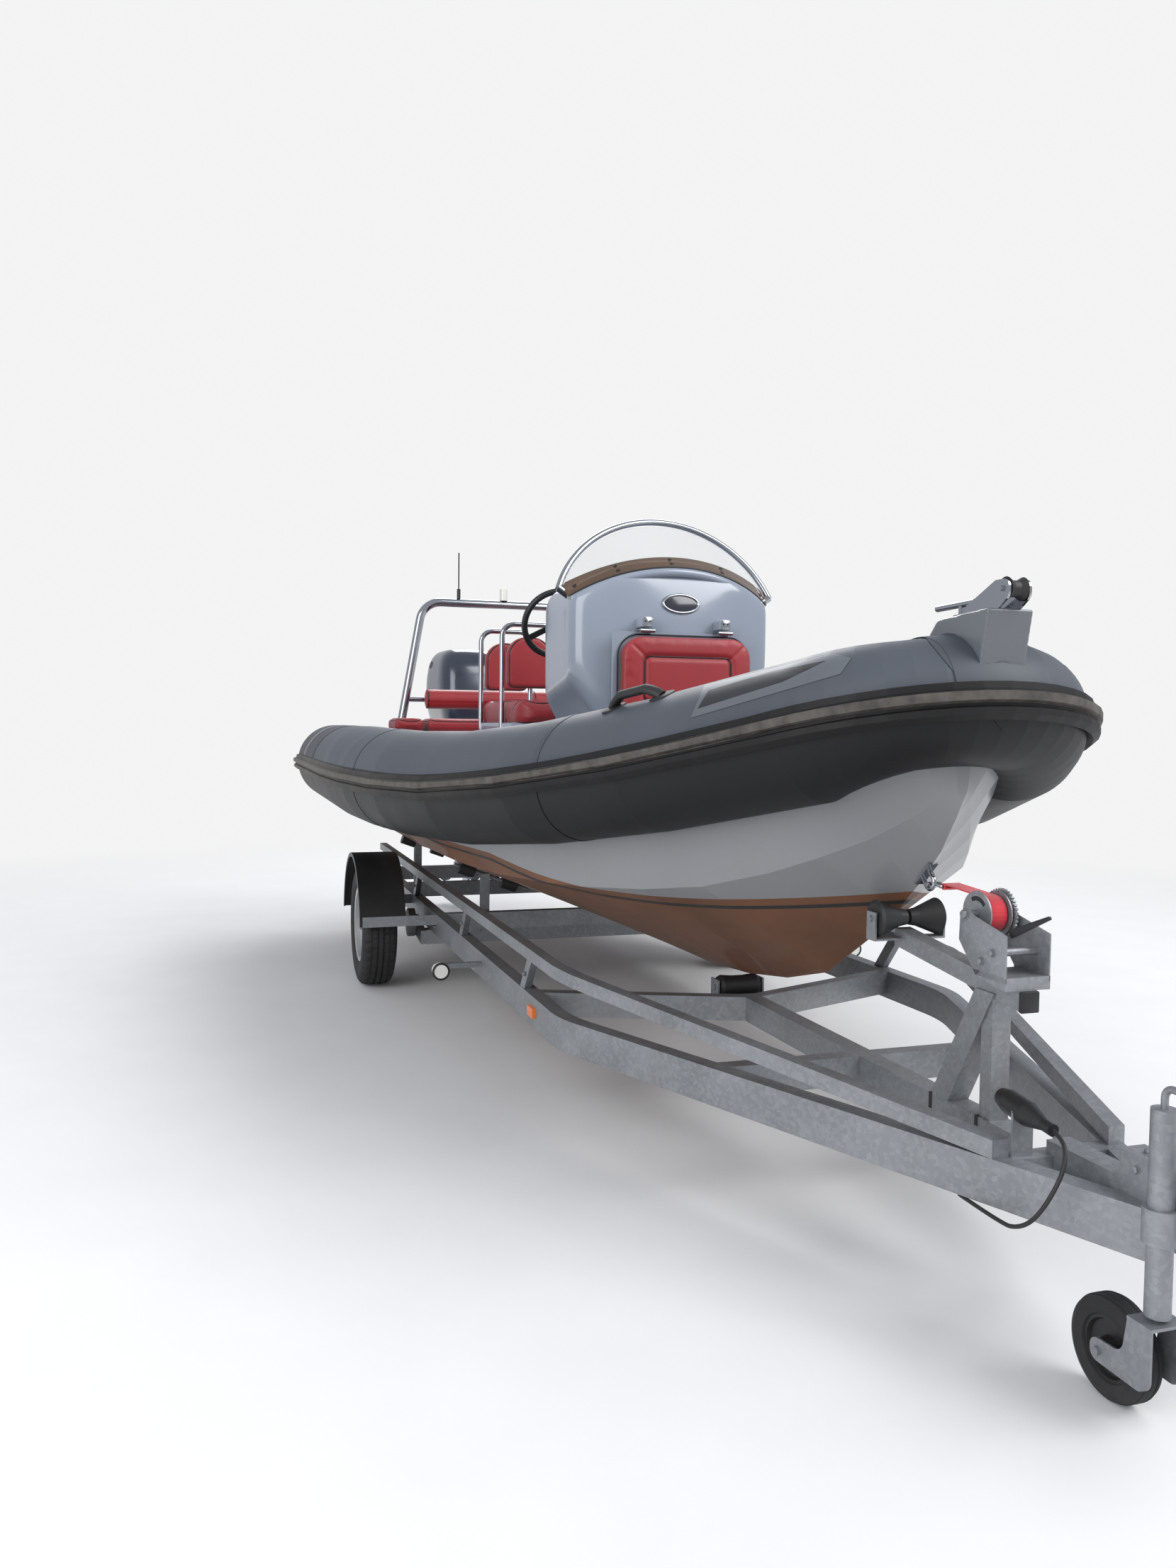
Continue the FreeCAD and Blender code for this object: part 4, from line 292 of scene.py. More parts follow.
def rounded_loop(middle, across, upward, half_wide, half_high, radius, steps=6):
    """Points round a rectangle with round corners, in the plane of two directions."""
    points = []
    radii = radius if isinstance(radius, tuple) else (radius,) * 4
    for (x_sign, y_sign, start), size in zip(((1, 1, 0), (-1, 1, 90), (-1, -1, 180), (1, -1, 270)), radii):
        for step in range(steps + 1):
            turn = math.radians(start + 90 * step / steps)
            wide = x_sign * (half_wide - size) + size * math.cos(turn)
            high = y_sign * (half_high - size) + size * math.sin(turn)
            points.append(middle + across * wide + upward * high)
    return points


def slab(outline, along):
    """A flat outline pushed along a vector, as points and faces."""
    count = len(outline)
    verts = outline + [point + along for point in outline]
    faces = [tuple(range(count)), tuple(range(count, 2 * count))]
    return verts, faces + [(i, (i + 1) % count, count + (i + 1) % count, count + i) for i in range(count)]


def closer(points, gap, cyclic=True):
    """The same line with points no further apart than a gap."""
    full = []
    pairs = zip(points, points[1:] + points[:1]) if cyclic else zip(points, points[1:])
    for first, second in pairs:
        count = max(1, math.ceil((second - first).length / gap))
        full += [first.lerp(second, step / count) for step in range(count)]
    return full if cyclic else full + [points[-1]]


def laid(piece, points, facing, lift=0.0):
    """Points dropped onto a piece against the direction it faces."""
    tree = skin(piece)
    down = -Vector(facing)
    out = []
    for point in points:
        place = tree.ray_cast(point - down * 0.2, down)[0]
        if place is not None:
            out.append(place - down * lift)
    return out


def patch(name, node, planes, finish, lift, thick, keep, body=ROOT):
    """A thin sheet on a solid's skin, trimmed by planes that face away from it and by a test of each face."""
    form = bmesh.new()
    form.from_mesh(node.data if isinstance(node, bpy.types.Object) else NODES[node].data)
    bmesh.ops.remove_doubles(form, verts=form.verts, dist=1e-5)
    for point, normal in planes:
        parts = form.verts[:] + form.edges[:] + form.faces[:]
        bmesh.ops.bisect_plane(form, geom=parts, dist=1e-6, plane_co=point, plane_no=normal, clear_outer=True)
    lost = [face for face in form.faces if not keep(face.calc_center_median(), face.normal)]
    bmesh.ops.delete(form, geom=lost, context="FACES")
    if not form.faces:
        raise RuntimeError(f"{name} has nothing left of {node}")
    form.normal_update()
    for vert in form.verts:
        vert.co += vert.normal * lift
    mesh = bpy.data.meshes.new(name)
    form.to_mesh(mesh)
    form.free()
    piece = new_object(name, mesh, FINISHES[finish], body)
    thickened(piece, thick, 1)
    smooth_by_angle(piece, 40)
    return piece


def filled(mesh):
    """The tight skin round all of a mesh's points."""
    form = bmesh.new()
    form.from_mesh(mesh)
    hull = bmesh.ops.convex_hull(form, input=form.verts)
    inner = hull["geom_interior"] + hull["geom_unused"]
    lost = list({item for item in inner if isinstance(item, bmesh.types.BMVert)})
    bmesh.ops.delete(form, geom=lost, context="VERTS")
    kept = {item for item in hull["geom"] if isinstance(item, bmesh.types.BMFace)}
    bmesh.ops.delete(form, geom=[face for face in form.faces if face not in kept], context="FACES_ONLY")
    form.to_mesh(mesh)
    form.free()
    return mesh


SHAPING_ROUNDS = (14, 8, 3)


def softened(name, node, voxel, rounds, finish, body=ROOT, hull=False, shape=None):
    """A moulding in place of a solid: the same form with round edges, its foot kept where it stands."""
    mesh = NODES[node].data.copy()
    piece = new_object(name, filled(mesh) if hull else mesh, FINISHES[finish], body)
    voxels(piece, voxel)
    apply_modifiers(piece)
    form = bmesh.new()
    form.from_mesh(piece.data)
    low = min(vert.co.z for vert in form.verts) + 1.5 * voxel
    loose = [vert for vert in form.verts if vert.co.z > low]
    for step in range(rounds):
        bmesh.ops.smooth_vert(form, verts=loose, factor=0.5, use_axis_x=True, use_axis_y=True, use_axis_z=True)
        if shape is not None and rounds - step in SHAPING_ROUNDS:
            for vert in loose:
                shape(vert)
    for face in form.faces:
        face.smooth = True
    form.to_mesh(piece.data)
    form.free()
    stand_in(node)
    return piece


def oval(name, piece, place, normal, half_wide, half_high, material, body, thick=0.002):
    """A thin oval plate laid on a curved piece."""
    across = Z.cross(normal).normalized()
    upward = normal.cross(across).normalized()
    tree = skin(piece)
    shares = (0.0, 0.4, 0.75, 1.0)
    steps = 32
    rings = []
    for share in shares:
        for start in ellipse(place, across, upward, half_wide * share, half_high * share, steps):
            rings.append(tree.find_nearest(start)[0] + normal * thick / 2)
    faces = []
    for a in range(0, steps * (len(shares) - 1), steps):
        b = a + steps
        faces += [(a + s, a + (s + 1) % steps, b + (s + 1) % steps, b + s) for s in range(steps)]
    plate = new_object(name, shape_mesh(name, rings, faces), material, body)
    thickened(plate, thick, -1)
    smooth_by_angle(plate, 40)
    return plate


def bolt(name, place, axis, size, material, body=ROOT):
    """A hexagon head on a washer."""
    rim, crown = size * 1.15, size * 0.6
    profile = ((-0.001, 0), (-0.001, rim), (0.0012, rim), (0.0018, crown), (0.0018, 0))
    turned(name + "_washer", profile, place, axis, material, body, 20)
    axis = Vector(axis).normalized()
    side = axis.orthogonal().normalized()
    outline = ellipse(Vector(place) + axis * 0.001, side, axis.cross(side), size, size, 6)
    prism(name + "_head", outline, axis * size * 0.75, material, body, size * 0.12)


# finishes
def linear(red, green, blue):
    """A colour of 0 to 255 steps as shader values."""
    values = []
    for step in (red, green, blue):
        share = step / 255
        values.append(share / 12.92 if share <= 0.04045 else ((share + 0.055) / 1.055) ** 2.4)
    return tuple(values)


class Paint:
    """A material in the making: the shader, its tree and the colour that feeds it."""

    def __init__(self, name):
        self.material = bpy.data.materials.new(name)
        self.material.use_nodes = True
        self.nodes = self.material.node_tree.nodes
        self.links = self.material.node_tree.links
        self.shader = self.nodes["Principled BSDF"]
        self.place = self.nodes.new("ShaderNodeTexCoord").outputs["Object"]
        self.tone = None

    def set(self, **values):
        for key, value in values.items():
            self.shader.inputs[key.replace("_", " ")].default_value = value

    def noise(self, scale, detail=5.0, rough=0.5):
        node = self.nodes.new("ShaderNodeTexNoise")
        node.inputs["Scale"].default_value = scale
        node.inputs["Detail"].default_value = detail
        node.inputs["Roughness"].default_value = rough
        self.links.new(self.place, node.inputs["Vector"])
        return node.outputs["Fac"]

    def cells(self, scale, output="Distance"):
        node = self.nodes.new("ShaderNodeTexVoronoi")
        node.inputs["Scale"].default_value = scale
        self.links.new(self.place, node.inputs["Vector"])
        return node.outputs[output]

    def spread(self, socket, low, high, start=0.0, end=1.0):
        node = self.nodes.new("ShaderNodeMapRange")
        for key, value in (("From Min", start), ("From Max", end), ("To Min", low), ("To Max", high)):
            node.inputs[key].default_value = value
        self.links.new(socket, node.inputs["Value"])
        return node.outputs["Result"]

    def sum(self, kind, first, second, third=None):
        node = self.nodes.new("ShaderNodeMath")
        node.operation = kind
        for slot, value in zip(node.inputs, (first, second, third)):
            if isinstance(value, bpy.types.NodeSocket):
                self.links.new(value, slot)
            elif value is not None:
                slot.default_value = value
        return node.outputs[0]

    def axis(self, key):
        """The surface's place along one axis."""
        split = self.nodes.new("ShaderNodeSeparateXYZ")
        self.links.new(self.place, split.inputs["Vector"])
        return split.outputs[key]

    def between(self, socket, low, high):
        """A mask that is 1 where a value lies between two others."""
        above = self.sum("GREATER_THAN", socket, low)
        return self.sum("MULTIPLY", above, self.sum("LESS_THAN", socket, high))

    def mottled(self, colour, scale, amount):
        """A colour that wanders a little lighter and darker."""
        ramp = self.nodes.new("ShaderNodeValToRGB")
        first, last = ramp.color_ramp.elements
        first.position, last.position = 0.3, 0.7
        first.color = (*[c * (1 - amount) for c in colour], 1)
        last.color = (*[min(1, c * (1 + amount)) for c in colour], 1)
        self.links.new(self.noise(scale), ramp.inputs["Fac"])
        self.tone = ramp.outputs["Color"]

    def over(self, mask, colour):
        """Lays a colour over the tone where the mask is 1."""
        mix = self.nodes.new("ShaderNodeMix")
        mix.data_type = "RGBA"
        self.links.new(mask, mix.inputs[0])
        if self.tone is not None:
            self.links.new(self.tone, mix.inputs[6])
        if isinstance(colour, bpy.types.NodeSocket):
            self.links.new(colour, mix.inputs[7])
        else:
            mix.inputs[7].default_value = (*colour, 1)
        self.tone = mix.outputs[2]

    def grime(self, amount, colour=(0.12, 0.10, 0.075)):
        self.over(self.spread(self.noise(2.3, 8.0, 0.7), 0.0, amount, 0.5, 0.8), colour)

    def gloss(self, rough, spread=0.08, scale=4.0):
        self.links.new(self.spread(self.noise(scale), max(0.02, rough - spread), min(1.0, rough + spread)),
                       self.shader.inputs["Roughness"])

    def bump(self, *heights, distance=0.001):
        """Raises the surface by pairs of a height socket and its strength."""
        normal = None
        for height, strength in heights:
            node = self.nodes.new("ShaderNodeBump")
            node.inputs["Strength"].default_value = strength
            node.inputs["Distance"].default_value = distance
            self.links.new(height, node.inputs["Height"])
            if normal is not None:
                self.links.new(normal, node.inputs["Normal"])
            normal = node.outputs["Normal"]
        self.links.new(normal, self.shader.inputs["Normal"])

    def done(self):
        if self.tone is not None:
            self.links.new(self.tone, self.shader.inputs["Base Color"])
        return self.material


def plain(name, colour, rough, metal=0.0, mottle=(6.0, 0.08), grain=(180.0, 0.1), coat=0.0, dirt=0.0):
    """A paint, plastic, rubber or metal with a wandering tone, uneven gloss and a fine surface."""
    paint = Paint(name)
    paint.mottled(colour, *mottle)
    if dirt:
        paint.grime(dirt)
    paint.gloss(rough)
    paint.set(Metallic=metal, Coat_Weight=coat, Coat_Roughness=0.12)
    paint.bump((paint.noise(grain[0], 3.0), grain[1]))
    return paint.done()


def zinc():
    """Hot-dip zinc: dull grey with soft spangle, drips and brown road dirt."""
    paint = Paint("GalvanisedSteel")
    paint.mottled(linear(138, 141, 145), 5.0, 0.16)
    paint.over(paint.spread(paint.cells(95.0, "Color"), 0.0, 0.28, 0.35, 0.9), linear(178, 181, 184))
    paint.grime(0.35, linear(112, 100, 86))
    paint.gloss(0.5, 0.12, 20.0)
    paint.set(Metallic=0.65)
    paint.bump((paint.noise(26.0, 4.0), 0.12), (paint.noise(300.0, 2.0), 0.08))
    return paint.done()


def vinyl(name, colour):
    """Soft upholstery vinyl with a pebble grain."""
    paint = Paint(name)
    paint.mottled(colour, 5.0, 0.10)
    paint.gloss(0.42, 0.07, 9.0)
    paint.set(Sheen_Weight=0.12, Specular_IOR_Level=0.45)
    paint.bump((paint.cells(620.0), 0.22), (paint.noise(60.0, 4.0), 0.10))
    return paint.done()


def webbing():
    """Woven strap with a fine rib across it."""
    paint = Paint("RedWebbing")
    paint.mottled(bpy.context.scene.boat_colours.strap, 24.0, 0.18)
    paint.gloss(0.75)
    wave = paint.nodes.new("ShaderNodeTexWave")
    wave.inputs["Scale"].default_value = 220.0
    paint.links.new(paint.place, wave.inputs["Vector"])
    paint.set(Sheen_Weight=0.3)
    paint.bump((wave.outputs["Fac"], 0.4), (paint.noise(900.0), 0.3))
    return paint.done()


def above_sheer(paint):
    """Height over the collar's middle line, which rises towards the bow."""
    past = paint.sum("MAXIMUM", paint.sum("SUBTRACT", paint.axis("X"), AXLE + SHEER_START), 0.0)
    square = paint.sum("MULTIPLY", past, past)
    line = paint.sum("MULTIPLY_ADD", square, SHEER_RISE / SHEER_SPAN ** 2, COLLAR_HEIGHT)
    return paint.sum("SUBTRACT", paint.axis("Z"), line)


def collar_fabric(name, shade=1.0):
    """Coated collar cloth, grey above the strake and black below it."""
    colours = bpy.context.scene.boat_colours
    paint = Paint(name)
    paint.mottled([c * shade for c in colours.collar], 1.6, 0.10)
    paint.grime(0.16, linear(78, 76, 74))
    below = paint.sum("LESS_THAN", above_sheer(paint), BLACK_BELOW)
    paint.over(below, linear(13, 14, 16))
    paint.gloss(0.50, 0.08, 5.0)
    paint.set(Specular_IOR_Level=0.32)
    paint.bump((paint.cells(900.0), 0.10), (paint.noise(14.0, 4.0), 0.06))
    return paint.done()


def strake_rubber():
    """Black strake whose outer rib is grey from wear and from a painted highlight."""
    paint = Paint("StrakeRubber")
    paint.mottled(linear(15, 15, 16), 9.0, 0.2)
    # The rib's lighter grey is partly real wear and partly a painted highlight along the ridge.
    rib = paint.between(above_sheer(paint), *STRAKE_RIB)
    worn_and_highlit = paint.sum("MULTIPLY", rib, paint.spread(paint.noise(18.0, 7.0, 0.65), 0.35, 1.0, 0.3, 0.62))
    paint.over(worn_and_highlit, linear(88, 84, 79))
    fading = paint.spread(paint.axis("X"), 0.85, 0.0, *STRAKE_WEAR)
    aft = paint.sum("MULTIPLY", fading, paint.spread(paint.noise(6.0, 7.0), 0.5, 1.0, 0.3, 0.6))
    paint.over(aft, linear(104, 99, 92))
    paint.set(Specular_IOR_Level=0.35)
    paint.gloss(0.6, 0.1, 20.0)
    paint.bump((paint.noise(240.0), 0.2))
    return paint.done()


def painted_hull():
    """Grey topsides over brown antifouling, with a fine dark line of painted shadow from a spray rail within the
    brown; the topsides' grey is darkened as painted shade.
    """
    colours = bpy.context.scene.boat_colours
    paint = Paint("PaintedHull")
    forward = paint.sum("MAXIMUM", paint.axis("X"), AXLE + PAINT_LEVEL_TO)
    from_middle = paint.sum("SUBTRACT", forward, AXLE + PAINT_MIDDLE)
    slope = paint.sum("MULTIPLY_ADD", from_middle, PAINT_CURVE, PAINT_SLOPE)
    line = paint.sum("MULTIPLY_ADD", from_middle, slope, PAINT_HEIGHT)
    over_line = paint.sum("SUBTRACT", paint.axis("Z"), line)
    paint.mottled(colours.antifoul, 3.0, 0.22)
    paint.over(paint.spread(paint.noise(7.0, 8.0, 0.7), 0.0, 0.35, 0.5, 0.75), linear(74, 58, 46))
    # A dark line of painted shadow under the spray rail, within the brown.
    paint.over(paint.between(over_line, *PAINT_SHADOW_LINE), linear(30, 28, 27))
    brown = paint.tone
    # The topsides' grey is set darker than the hull's light grey, as painted shade.
    paint.mottled(colours.hull, 1.1, 0.06)
    paint.grime(0.14, linear(112, 104, 92))
    under = paint.sum("LESS_THAN", over_line, 0.0)
    paint.over(under, brown)
    rough = paint.sum("MULTIPLY_ADD", under, 0.42, 0.3)
    paint.links.new(rough, paint.shader.inputs["Roughness"])
    paint.set(Coat_Weight=0.12)
    paint.bump((paint.noise(200.0), 0.05))
    return paint.done()


def sole():
    """Cockpit sole with a moulded diamond tread."""
    paint = Paint("DeckGelcoat")
    paint.mottled(linear(170, 172, 174), 2.0, 0.06)
    paint.grime(0.3, linear(120, 112, 100))
    paint.gloss(0.5)
    paint.bump((paint.cells(70.0), 0.35), (paint.noise(420.0), 0.2))
    return paint.done()


def clear_sheet(name, colour, alpha, rough=0.04):
    """Acrylic sheet to see through, glossy at a slant, with fine scuffs."""
    paint = Paint(name)
    paint.mottled(colour, 3.0, 0.05)
    paint.gloss(rough, 0.03, 30.0)
    paint.set(Alpha=alpha, Coat_Weight=0.4)
    paint.bump((paint.noise(40.0), 0.01))
    return paint.done()


def make_finishes():
    """All the finishes by their plain names."""
    colours = bpy.context.scene.boat_colours
    FINISHES.update({
        "galvanised": zinc(),
        "stainless": plain("PolishedStainless", linear(164, 167, 172), 0.12, 1.0, (4.0, 0.05), (300.0, 0.02)),
        "gelcoat": plain("ConsoleGelcoat", colours.gelcoat, 0.22, 0.0, (1.2, 0.04), (160.0, 0.01), 0.5, 0.05),
        "hull": painted_hull(),
        "deck": sole(),
        "collar": collar_fabric("CollarFabric"),
        "collar_patch": collar_fabric("CollarPatch", 0.87),
        "pale_fabric": plain("PaleSeamTape", linear(112, 115, 120), 0.5, 0.0, (6.0, 0.1), (700.0, 0.12)),
        "black_fabric": plain("BlackCollarFabric", linear(24, 24, 26), 0.5, 0.0, (4.0, 0.15), (700.0, 0.12)),
        "stern_patch": plain("SternPatch", linear(52, 55, 60), 0.5, 0.0, (5.0, 0.12), (700.0, 0.1)),
        "dark_graphic": plain("DarkGraphic", linear(32, 35, 39), 0.45, 0.0, (5.0, 0.1), (700.0, 0.08)),
        "light_graphic": plain("LightGraphic", linear(94, 99, 105), 0.45, 0.0, (5.0, 0.08), (700.0, 0.08)),
        "strake": strake_rubber(),
        "rubber": plain("BlackRubber", linear(32, 32, 33), 0.55, 0.0, (8.0, 0.2), (150.0, 0.15), 0.0, 0.12),
        "tyre": plain("TyreRubber", linear(36, 36, 37), 0.78, 0.0, (10.0, 0.25), (220.0, 0.3), 0.0, 0.45),
        "black_plastic": plain("BlackPlastic", linear(28, 28, 29), 0.42, 0.0, (6.0, 0.2), (350.0, 0.12), 0.0, 0.1),
        "rim": plain("SilverWheelPaint", linear(176, 177, 178), 0.4, 0.5, (9.0, 0.1), (200.0, 0.1), 0.1, 0.35),
        "red": vinyl("RedUpholstery", colours.upholstery),
        "piping": plain("BlackPiping", linear(24, 24, 25), 0.45, 0.0, (20.0, 0.2), (300.0, 0.2)),
        "strap": webbing(),
        "engine": plain("EnginePaint", colours.engine, 0.22, 0.3, (1.5, 0.1), (120.0, 0.01), 0.7),
        "engine_metal": plain("EngineCasting", linear(120, 121, 122), 0.55, 0.7, (8.0, 0.2), (120.0, 0.2)),
        "amber": plain("AmberLens", linear(226, 110, 24), 0.18, 0.0, (12.0, 0.15), (90.0, 0.05), 0.5),
        "white_lens": plain("WhiteLens", linear(226, 226, 220), 0.2, 0.0, (12.0, 0.05), (90.0, 0.05), 0.5),
        "screen": clear_sheet("ClearScreen", linear(196, 200, 204), 0.20),
        "bronze": clear_sheet("BronzeBand", linear(92, 70, 50), 0.86, 0.10),
        "plinth": plain("PlinthGelcoat", linear(96, 100, 106), 0.3, 0.0, (3.0, 0.06), (160.0, 0.03), 0.3, 0.1),
        "badge": plain("BlankBadge", linear(38, 42, 52), 0.2, 0.1, (10.0, 0.1), (120.0, 0.02), 0.5),
    })


NODE_FINISH = {
    "galvanised": ("main_rails", "upper_rails", "cross_members", "axle", "winch_post", "winch_frame",
                   "winch_drum", "roller_arms", "side_brackets", "coupling", "jockey_clamp", "jockey_stem",
                   "jockey_fork"),
    "black_plastic": ("mudguards", "trailer_plug", "jockey_hub", "steering_column", "steering_wheel",
                      "arch_fittings"),
    "rubber": ("hull_rollers", "bow_roller"),
    "strake": ("rub_strake",),
    "white_lens": ("marker_lamps",),
    "tyre": ("tyre_starboard", "tyre_port", "jockey_tyre"),
    "rim": ("rim_starboard", "rim_port"),
    "collar": ("collar", "collar_cones"),
    "hull": ("hull",),
    "gelcoat": ("hatch_panel", "transom"),
    "deck": ("deck",),
    "red": ("hatch_cushion", "forward_cushion", "saddles", "backrests", "bench_cushion", "bolster"),
    "stainless": ("console_rails", "seat_hoops", "arch", "bow_fittings", "strap_hook"),
    "screen": ("wind_screen",),
    "strap": ("winch_strap",),
    "engine": ("engine_leg", "swivel_bracket", "clamp_bracket", "propeller"),
    "engine_metal": ("engine_block",),
}


# soft goods: the axis and the side of a cover that lies flat
FLAT_BELOW = (2, -1)
FLAT_BEHIND = (0, -1)
FLAT_AHEAD = (0, 1)
SEWING_STEP = 0.02
PIPING_LIFT = 0.001
CLOTH_STEPS = 20


def span(solid):
    """The low and the high corner of the box round a solid."""
    verts = solid[0]
    low = Vector([min(vert[axis] for vert in verts) for axis in range(3)])
    return low, Vector([max(vert[axis] for vert in verts) for axis in range(3)])


def solids_of(node):
    """The separate solids of a node, each as a list of points and faces."""
    form = bmesh.new()
    form.from_mesh(NODES[node].data)
    bmesh.ops.remove_doubles(form, verts=form.verts, dist=1e-5)
    left = set(form.verts)
    found = []
    while left:
        start = left.pop()
        island = {start}
        edge = [start]
        while edge:
            vert = edge.pop()
            for link in vert.link_edges:
                other = link.other_vert(vert)
                if other not in island:
                    island.add(other)
                    edge.append(other)
        left -= island
        order = {vert: index for index, vert in enumerate(island)}
        faces = [tuple(order[v] for v in face.verts) for face in form.faces if face.verts[0] in island]
        found.append(([vert.co.copy() for vert in island], faces))
    form.free()
    return found


def stuffed(name, solid, body, seat, puff, voxel):
    """A closed cover swollen by its filling: from a solid drawn in by the swell, flat where it is seated."""
    verts, faces = solid
    low, high = span(solid)
    middle = (low + high) / 2
    share = [1 - 2 * puff / (high[k] - low[k]) for k in range(3)]
    drawn = [Vector([middle[k] + (v[k] - middle[k]) * share[k] for k in range(3)]) for v in verts]
    piece = new_object(name, shape_mesh(name, drawn, faces), FINISHES["red"], body)
    voxels(piece, voxel)
    rounder = piece.modifiers.new("Rounding", "SMOOTH")
    rounder.iterations = 5
    apply_modifiers(piece)
    start = [v.co.copy() for v in piece.data.vertices]
    cloth = piece.modifiers.new("Filling", "CLOTH")
    cloth.settings.use_pressure = True
    cloth.settings.uniform_pressure_force = bpy.context.scene.boat_sizes.filling
    cloth.settings.effector_weights.gravity = 0.0
    cloth.settings.quality = 4
    for step in range(1, CLOTH_STEPS + 1):
        bpy.context.scene.frame_set(step)
    apply_modifiers(piece)
    bpy.context.scene.frame_set(1)
    axis, sign = seat
    for vert, was in zip(piece.data.vertices, start):
        move = vert.co - was
        if move.length > puff:
            move = move * (puff / move.length)
        vert.co = was + move
        limit = low[axis] if sign < 0 else high[axis]
        near = abs(vert.co[axis] - limit)
        if near < 1.5 * puff:
            vert.co[axis] = limit
    return piece


def stitched(piece, runs, facing, depth, width):
    """Draws a cover in along its seams."""
    stitches = []
    for run in runs:
        for first, second in zip(run, run[1:]):
            stitches.append((first, second - first, max(1e-9, (second - first).length_squared)))
    for vert, normal in [(v, v.normal.copy()) for v in piece.data.vertices]:
        if normal.dot(facing) < 0.15:
            continue
        best = 1.0
        for start, along, square in stitches:
            offset = vert.co - start
            offset -= along * min(1.0, max(0.0, offset.dot(along) / square))
            offset -= facing * offset.dot(facing)
            best = min(best, offset.length)
        if best < 3 * width:
            vert.co -= facing * depth * math.exp(-(best / width) ** 2)


def declared_pad(node):
    """Hides the cushion that a cover takes the place of."""
    stand_in(node)


def finished_pad(piece, node, levels=1):
    rounder = piece.modifiers.new("Rounding", "SUBSURF")
    rounder.levels = rounder.render_levels = levels
    apply_modifiers(piece)
    for polygon in piece.data.polygons:
        polygon.use_smooth = True
    declared_pad(node)


def twin(piece, name, shift=(0, 0, 0), mirror=True, node=None):
    """A copy on the other side, or moved along."""
    mesh = piece.data.copy()
    move = Matrix.Translation(shift) @ (Matrix.Scale(-1, 4, (0, 1, 0)) if mirror else Matrix())
    mesh.transform(move)
    if mirror:
        mesh.flip_normals()
    copy = bpy.data.objects.new(name, mesh)
    bpy.context.collection.objects.link(copy)
    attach(copy, ROOT)
    if node:
        declared_pad(node)


def piping(name, points, body=ROOT, cyclic=True):
    """A cord sewn into a seam."""
    return swept(name, points, bpy.context.scene.boat_sizes.piping / 2, FINISHES["piping"], body, 8, cyclic)


def ring_seam(loop, gap):
    """A seam all the way round a loop."""
    return closer(loop, gap) + loop[:1]


def welt(name, pad, line, facing, body=ROOT, cyclic=True, lift=PIPING_LIFT):
    """Piping laid along a line on a pad."""
    points = closer(line, SEWING_STEP) if cyclic else line
    return piping(name, laid(pad, points, facing, lift), body, cyclic)


# lead of the trailer's plug, as stations, offsets and heights
LEAD_ROUTE = (
    (3.8933, -0.1095, 0.4823), (3.930, -0.118, 0.478), (3.958, -0.130, 0.462), (3.972, -0.148, 0.430),
    (3.971, -0.168, 0.392), (3.960, -0.184, 0.354), (3.938, -0.194, 0.320), (3.904, -0.199, 0.297),
    (3.862, -0.199, 0.286), (3.700, -0.187, 0.2835))


class BOAT_OT_lead(bpy.types.Operator):
    """The trailer plug's lead, which hangs from it and goes back under the rail"""
    bl_idname = "boat.lead"
    bl_label = "Plug lead"

    def execute(self, context):
        diameter = context.scene.boat_sizes.lead
        route = [at(*row) for row in LEAD_ROUTE]
        line = bpy.data.curves.new("PlugLead", "CURVE")
        line.dimensions = "3D"
        line.bevel_depth = diameter / 2
        line.bevel_resolution = 4
        line.resolution_u = 16
        spline = line.splines.new("NURBS")
        spline.points.add(len(route) - 1)
        for point, place in zip(spline.points, route):
            point.co = (*place, 1.0)
        spline.order_u = 3
        spline.use_endpoint_u = True
        lead = new_object("PlugLead", line, FINISHES["rubber"])
        stand_in("plug_cable")
        return {"FINISHED"}


# wind screen: the port end and the crest of its lower edge and of its hoop
SCREEN_LOWER = (at(1.487, 0.420, 1.786), at(1.590, 0, 1.905))
SCREEN_UPPER = (at(1.447, 0.434, 1.828), at(1.357, 0, 2.096))
CROWN_HEIGHT = 1.70
CROWN_STATION = 1.36
CROWN_GAP = 0.009
CROWN_EASE = 0.012
CROWN_BLEND = 0.02


def arc(ends, share):
    """A point on the arc through a port end, a crest and the starboard end."""
    end, crest = ends
    foot = Vector((end.x, 0, end.z))
    rise = (crest - foot).length
    radius = (end.y ** 2 + rise ** 2) / (2 * rise)
    centre = crest - (crest - foot).normalized() * radius
    turn = math.asin(end.y / radius) * share
    return centre + (crest - foot).normalized() * (radius * math.cos(turn)) + Y * (radius * math.sin(turn))


def sheet_point(share, height):
    """A point of the screen, from its lower edge to its hoop."""
    return arc(SCREEN_LOWER, share).lerp(arc(SCREEN_UPPER, share), height)


def sheet_height(share):
    """The screen's height along its slope."""
    return (sheet_point(share, 1) - sheet_point(share, 0)).length


def sheet_normal(share):
    """The screen's direction towards the bow."""
    along = sheet_point(share + 0.01, 0.2) - sheet_point(share - 0.01, 0.2)
    normal = along.cross(sheet_point(share, 1) - sheet_point(share, 0)).normalized()
    return normal if normal.x > 0 else -normal


def behind_screen(vert):
    """Draws the console's crown back behind the screen's band."""
    if vert.co.z < CROWN_HEIGHT or vert.co.x < at(CROWN_STATION).x:
        return
    share = max(-1.0, min(1.0, vert.co.y / SCREEN_LOWER[0].y))
    foot = sheet_point(share, 0.0)
    rise = (sheet_point(share, 1.0) - foot).normalized()
    normal = sheet_normal(share)
    front = (vert.co - foot).dot(normal) + CROWN_GAP
    over = (vert.co - foot).dot(rise)
    if front > 0 and over > -CROWN_EASE:
        vert.co -= normal * front * min(1.0, (over + CROWN_EASE) / CROWN_BLEND)


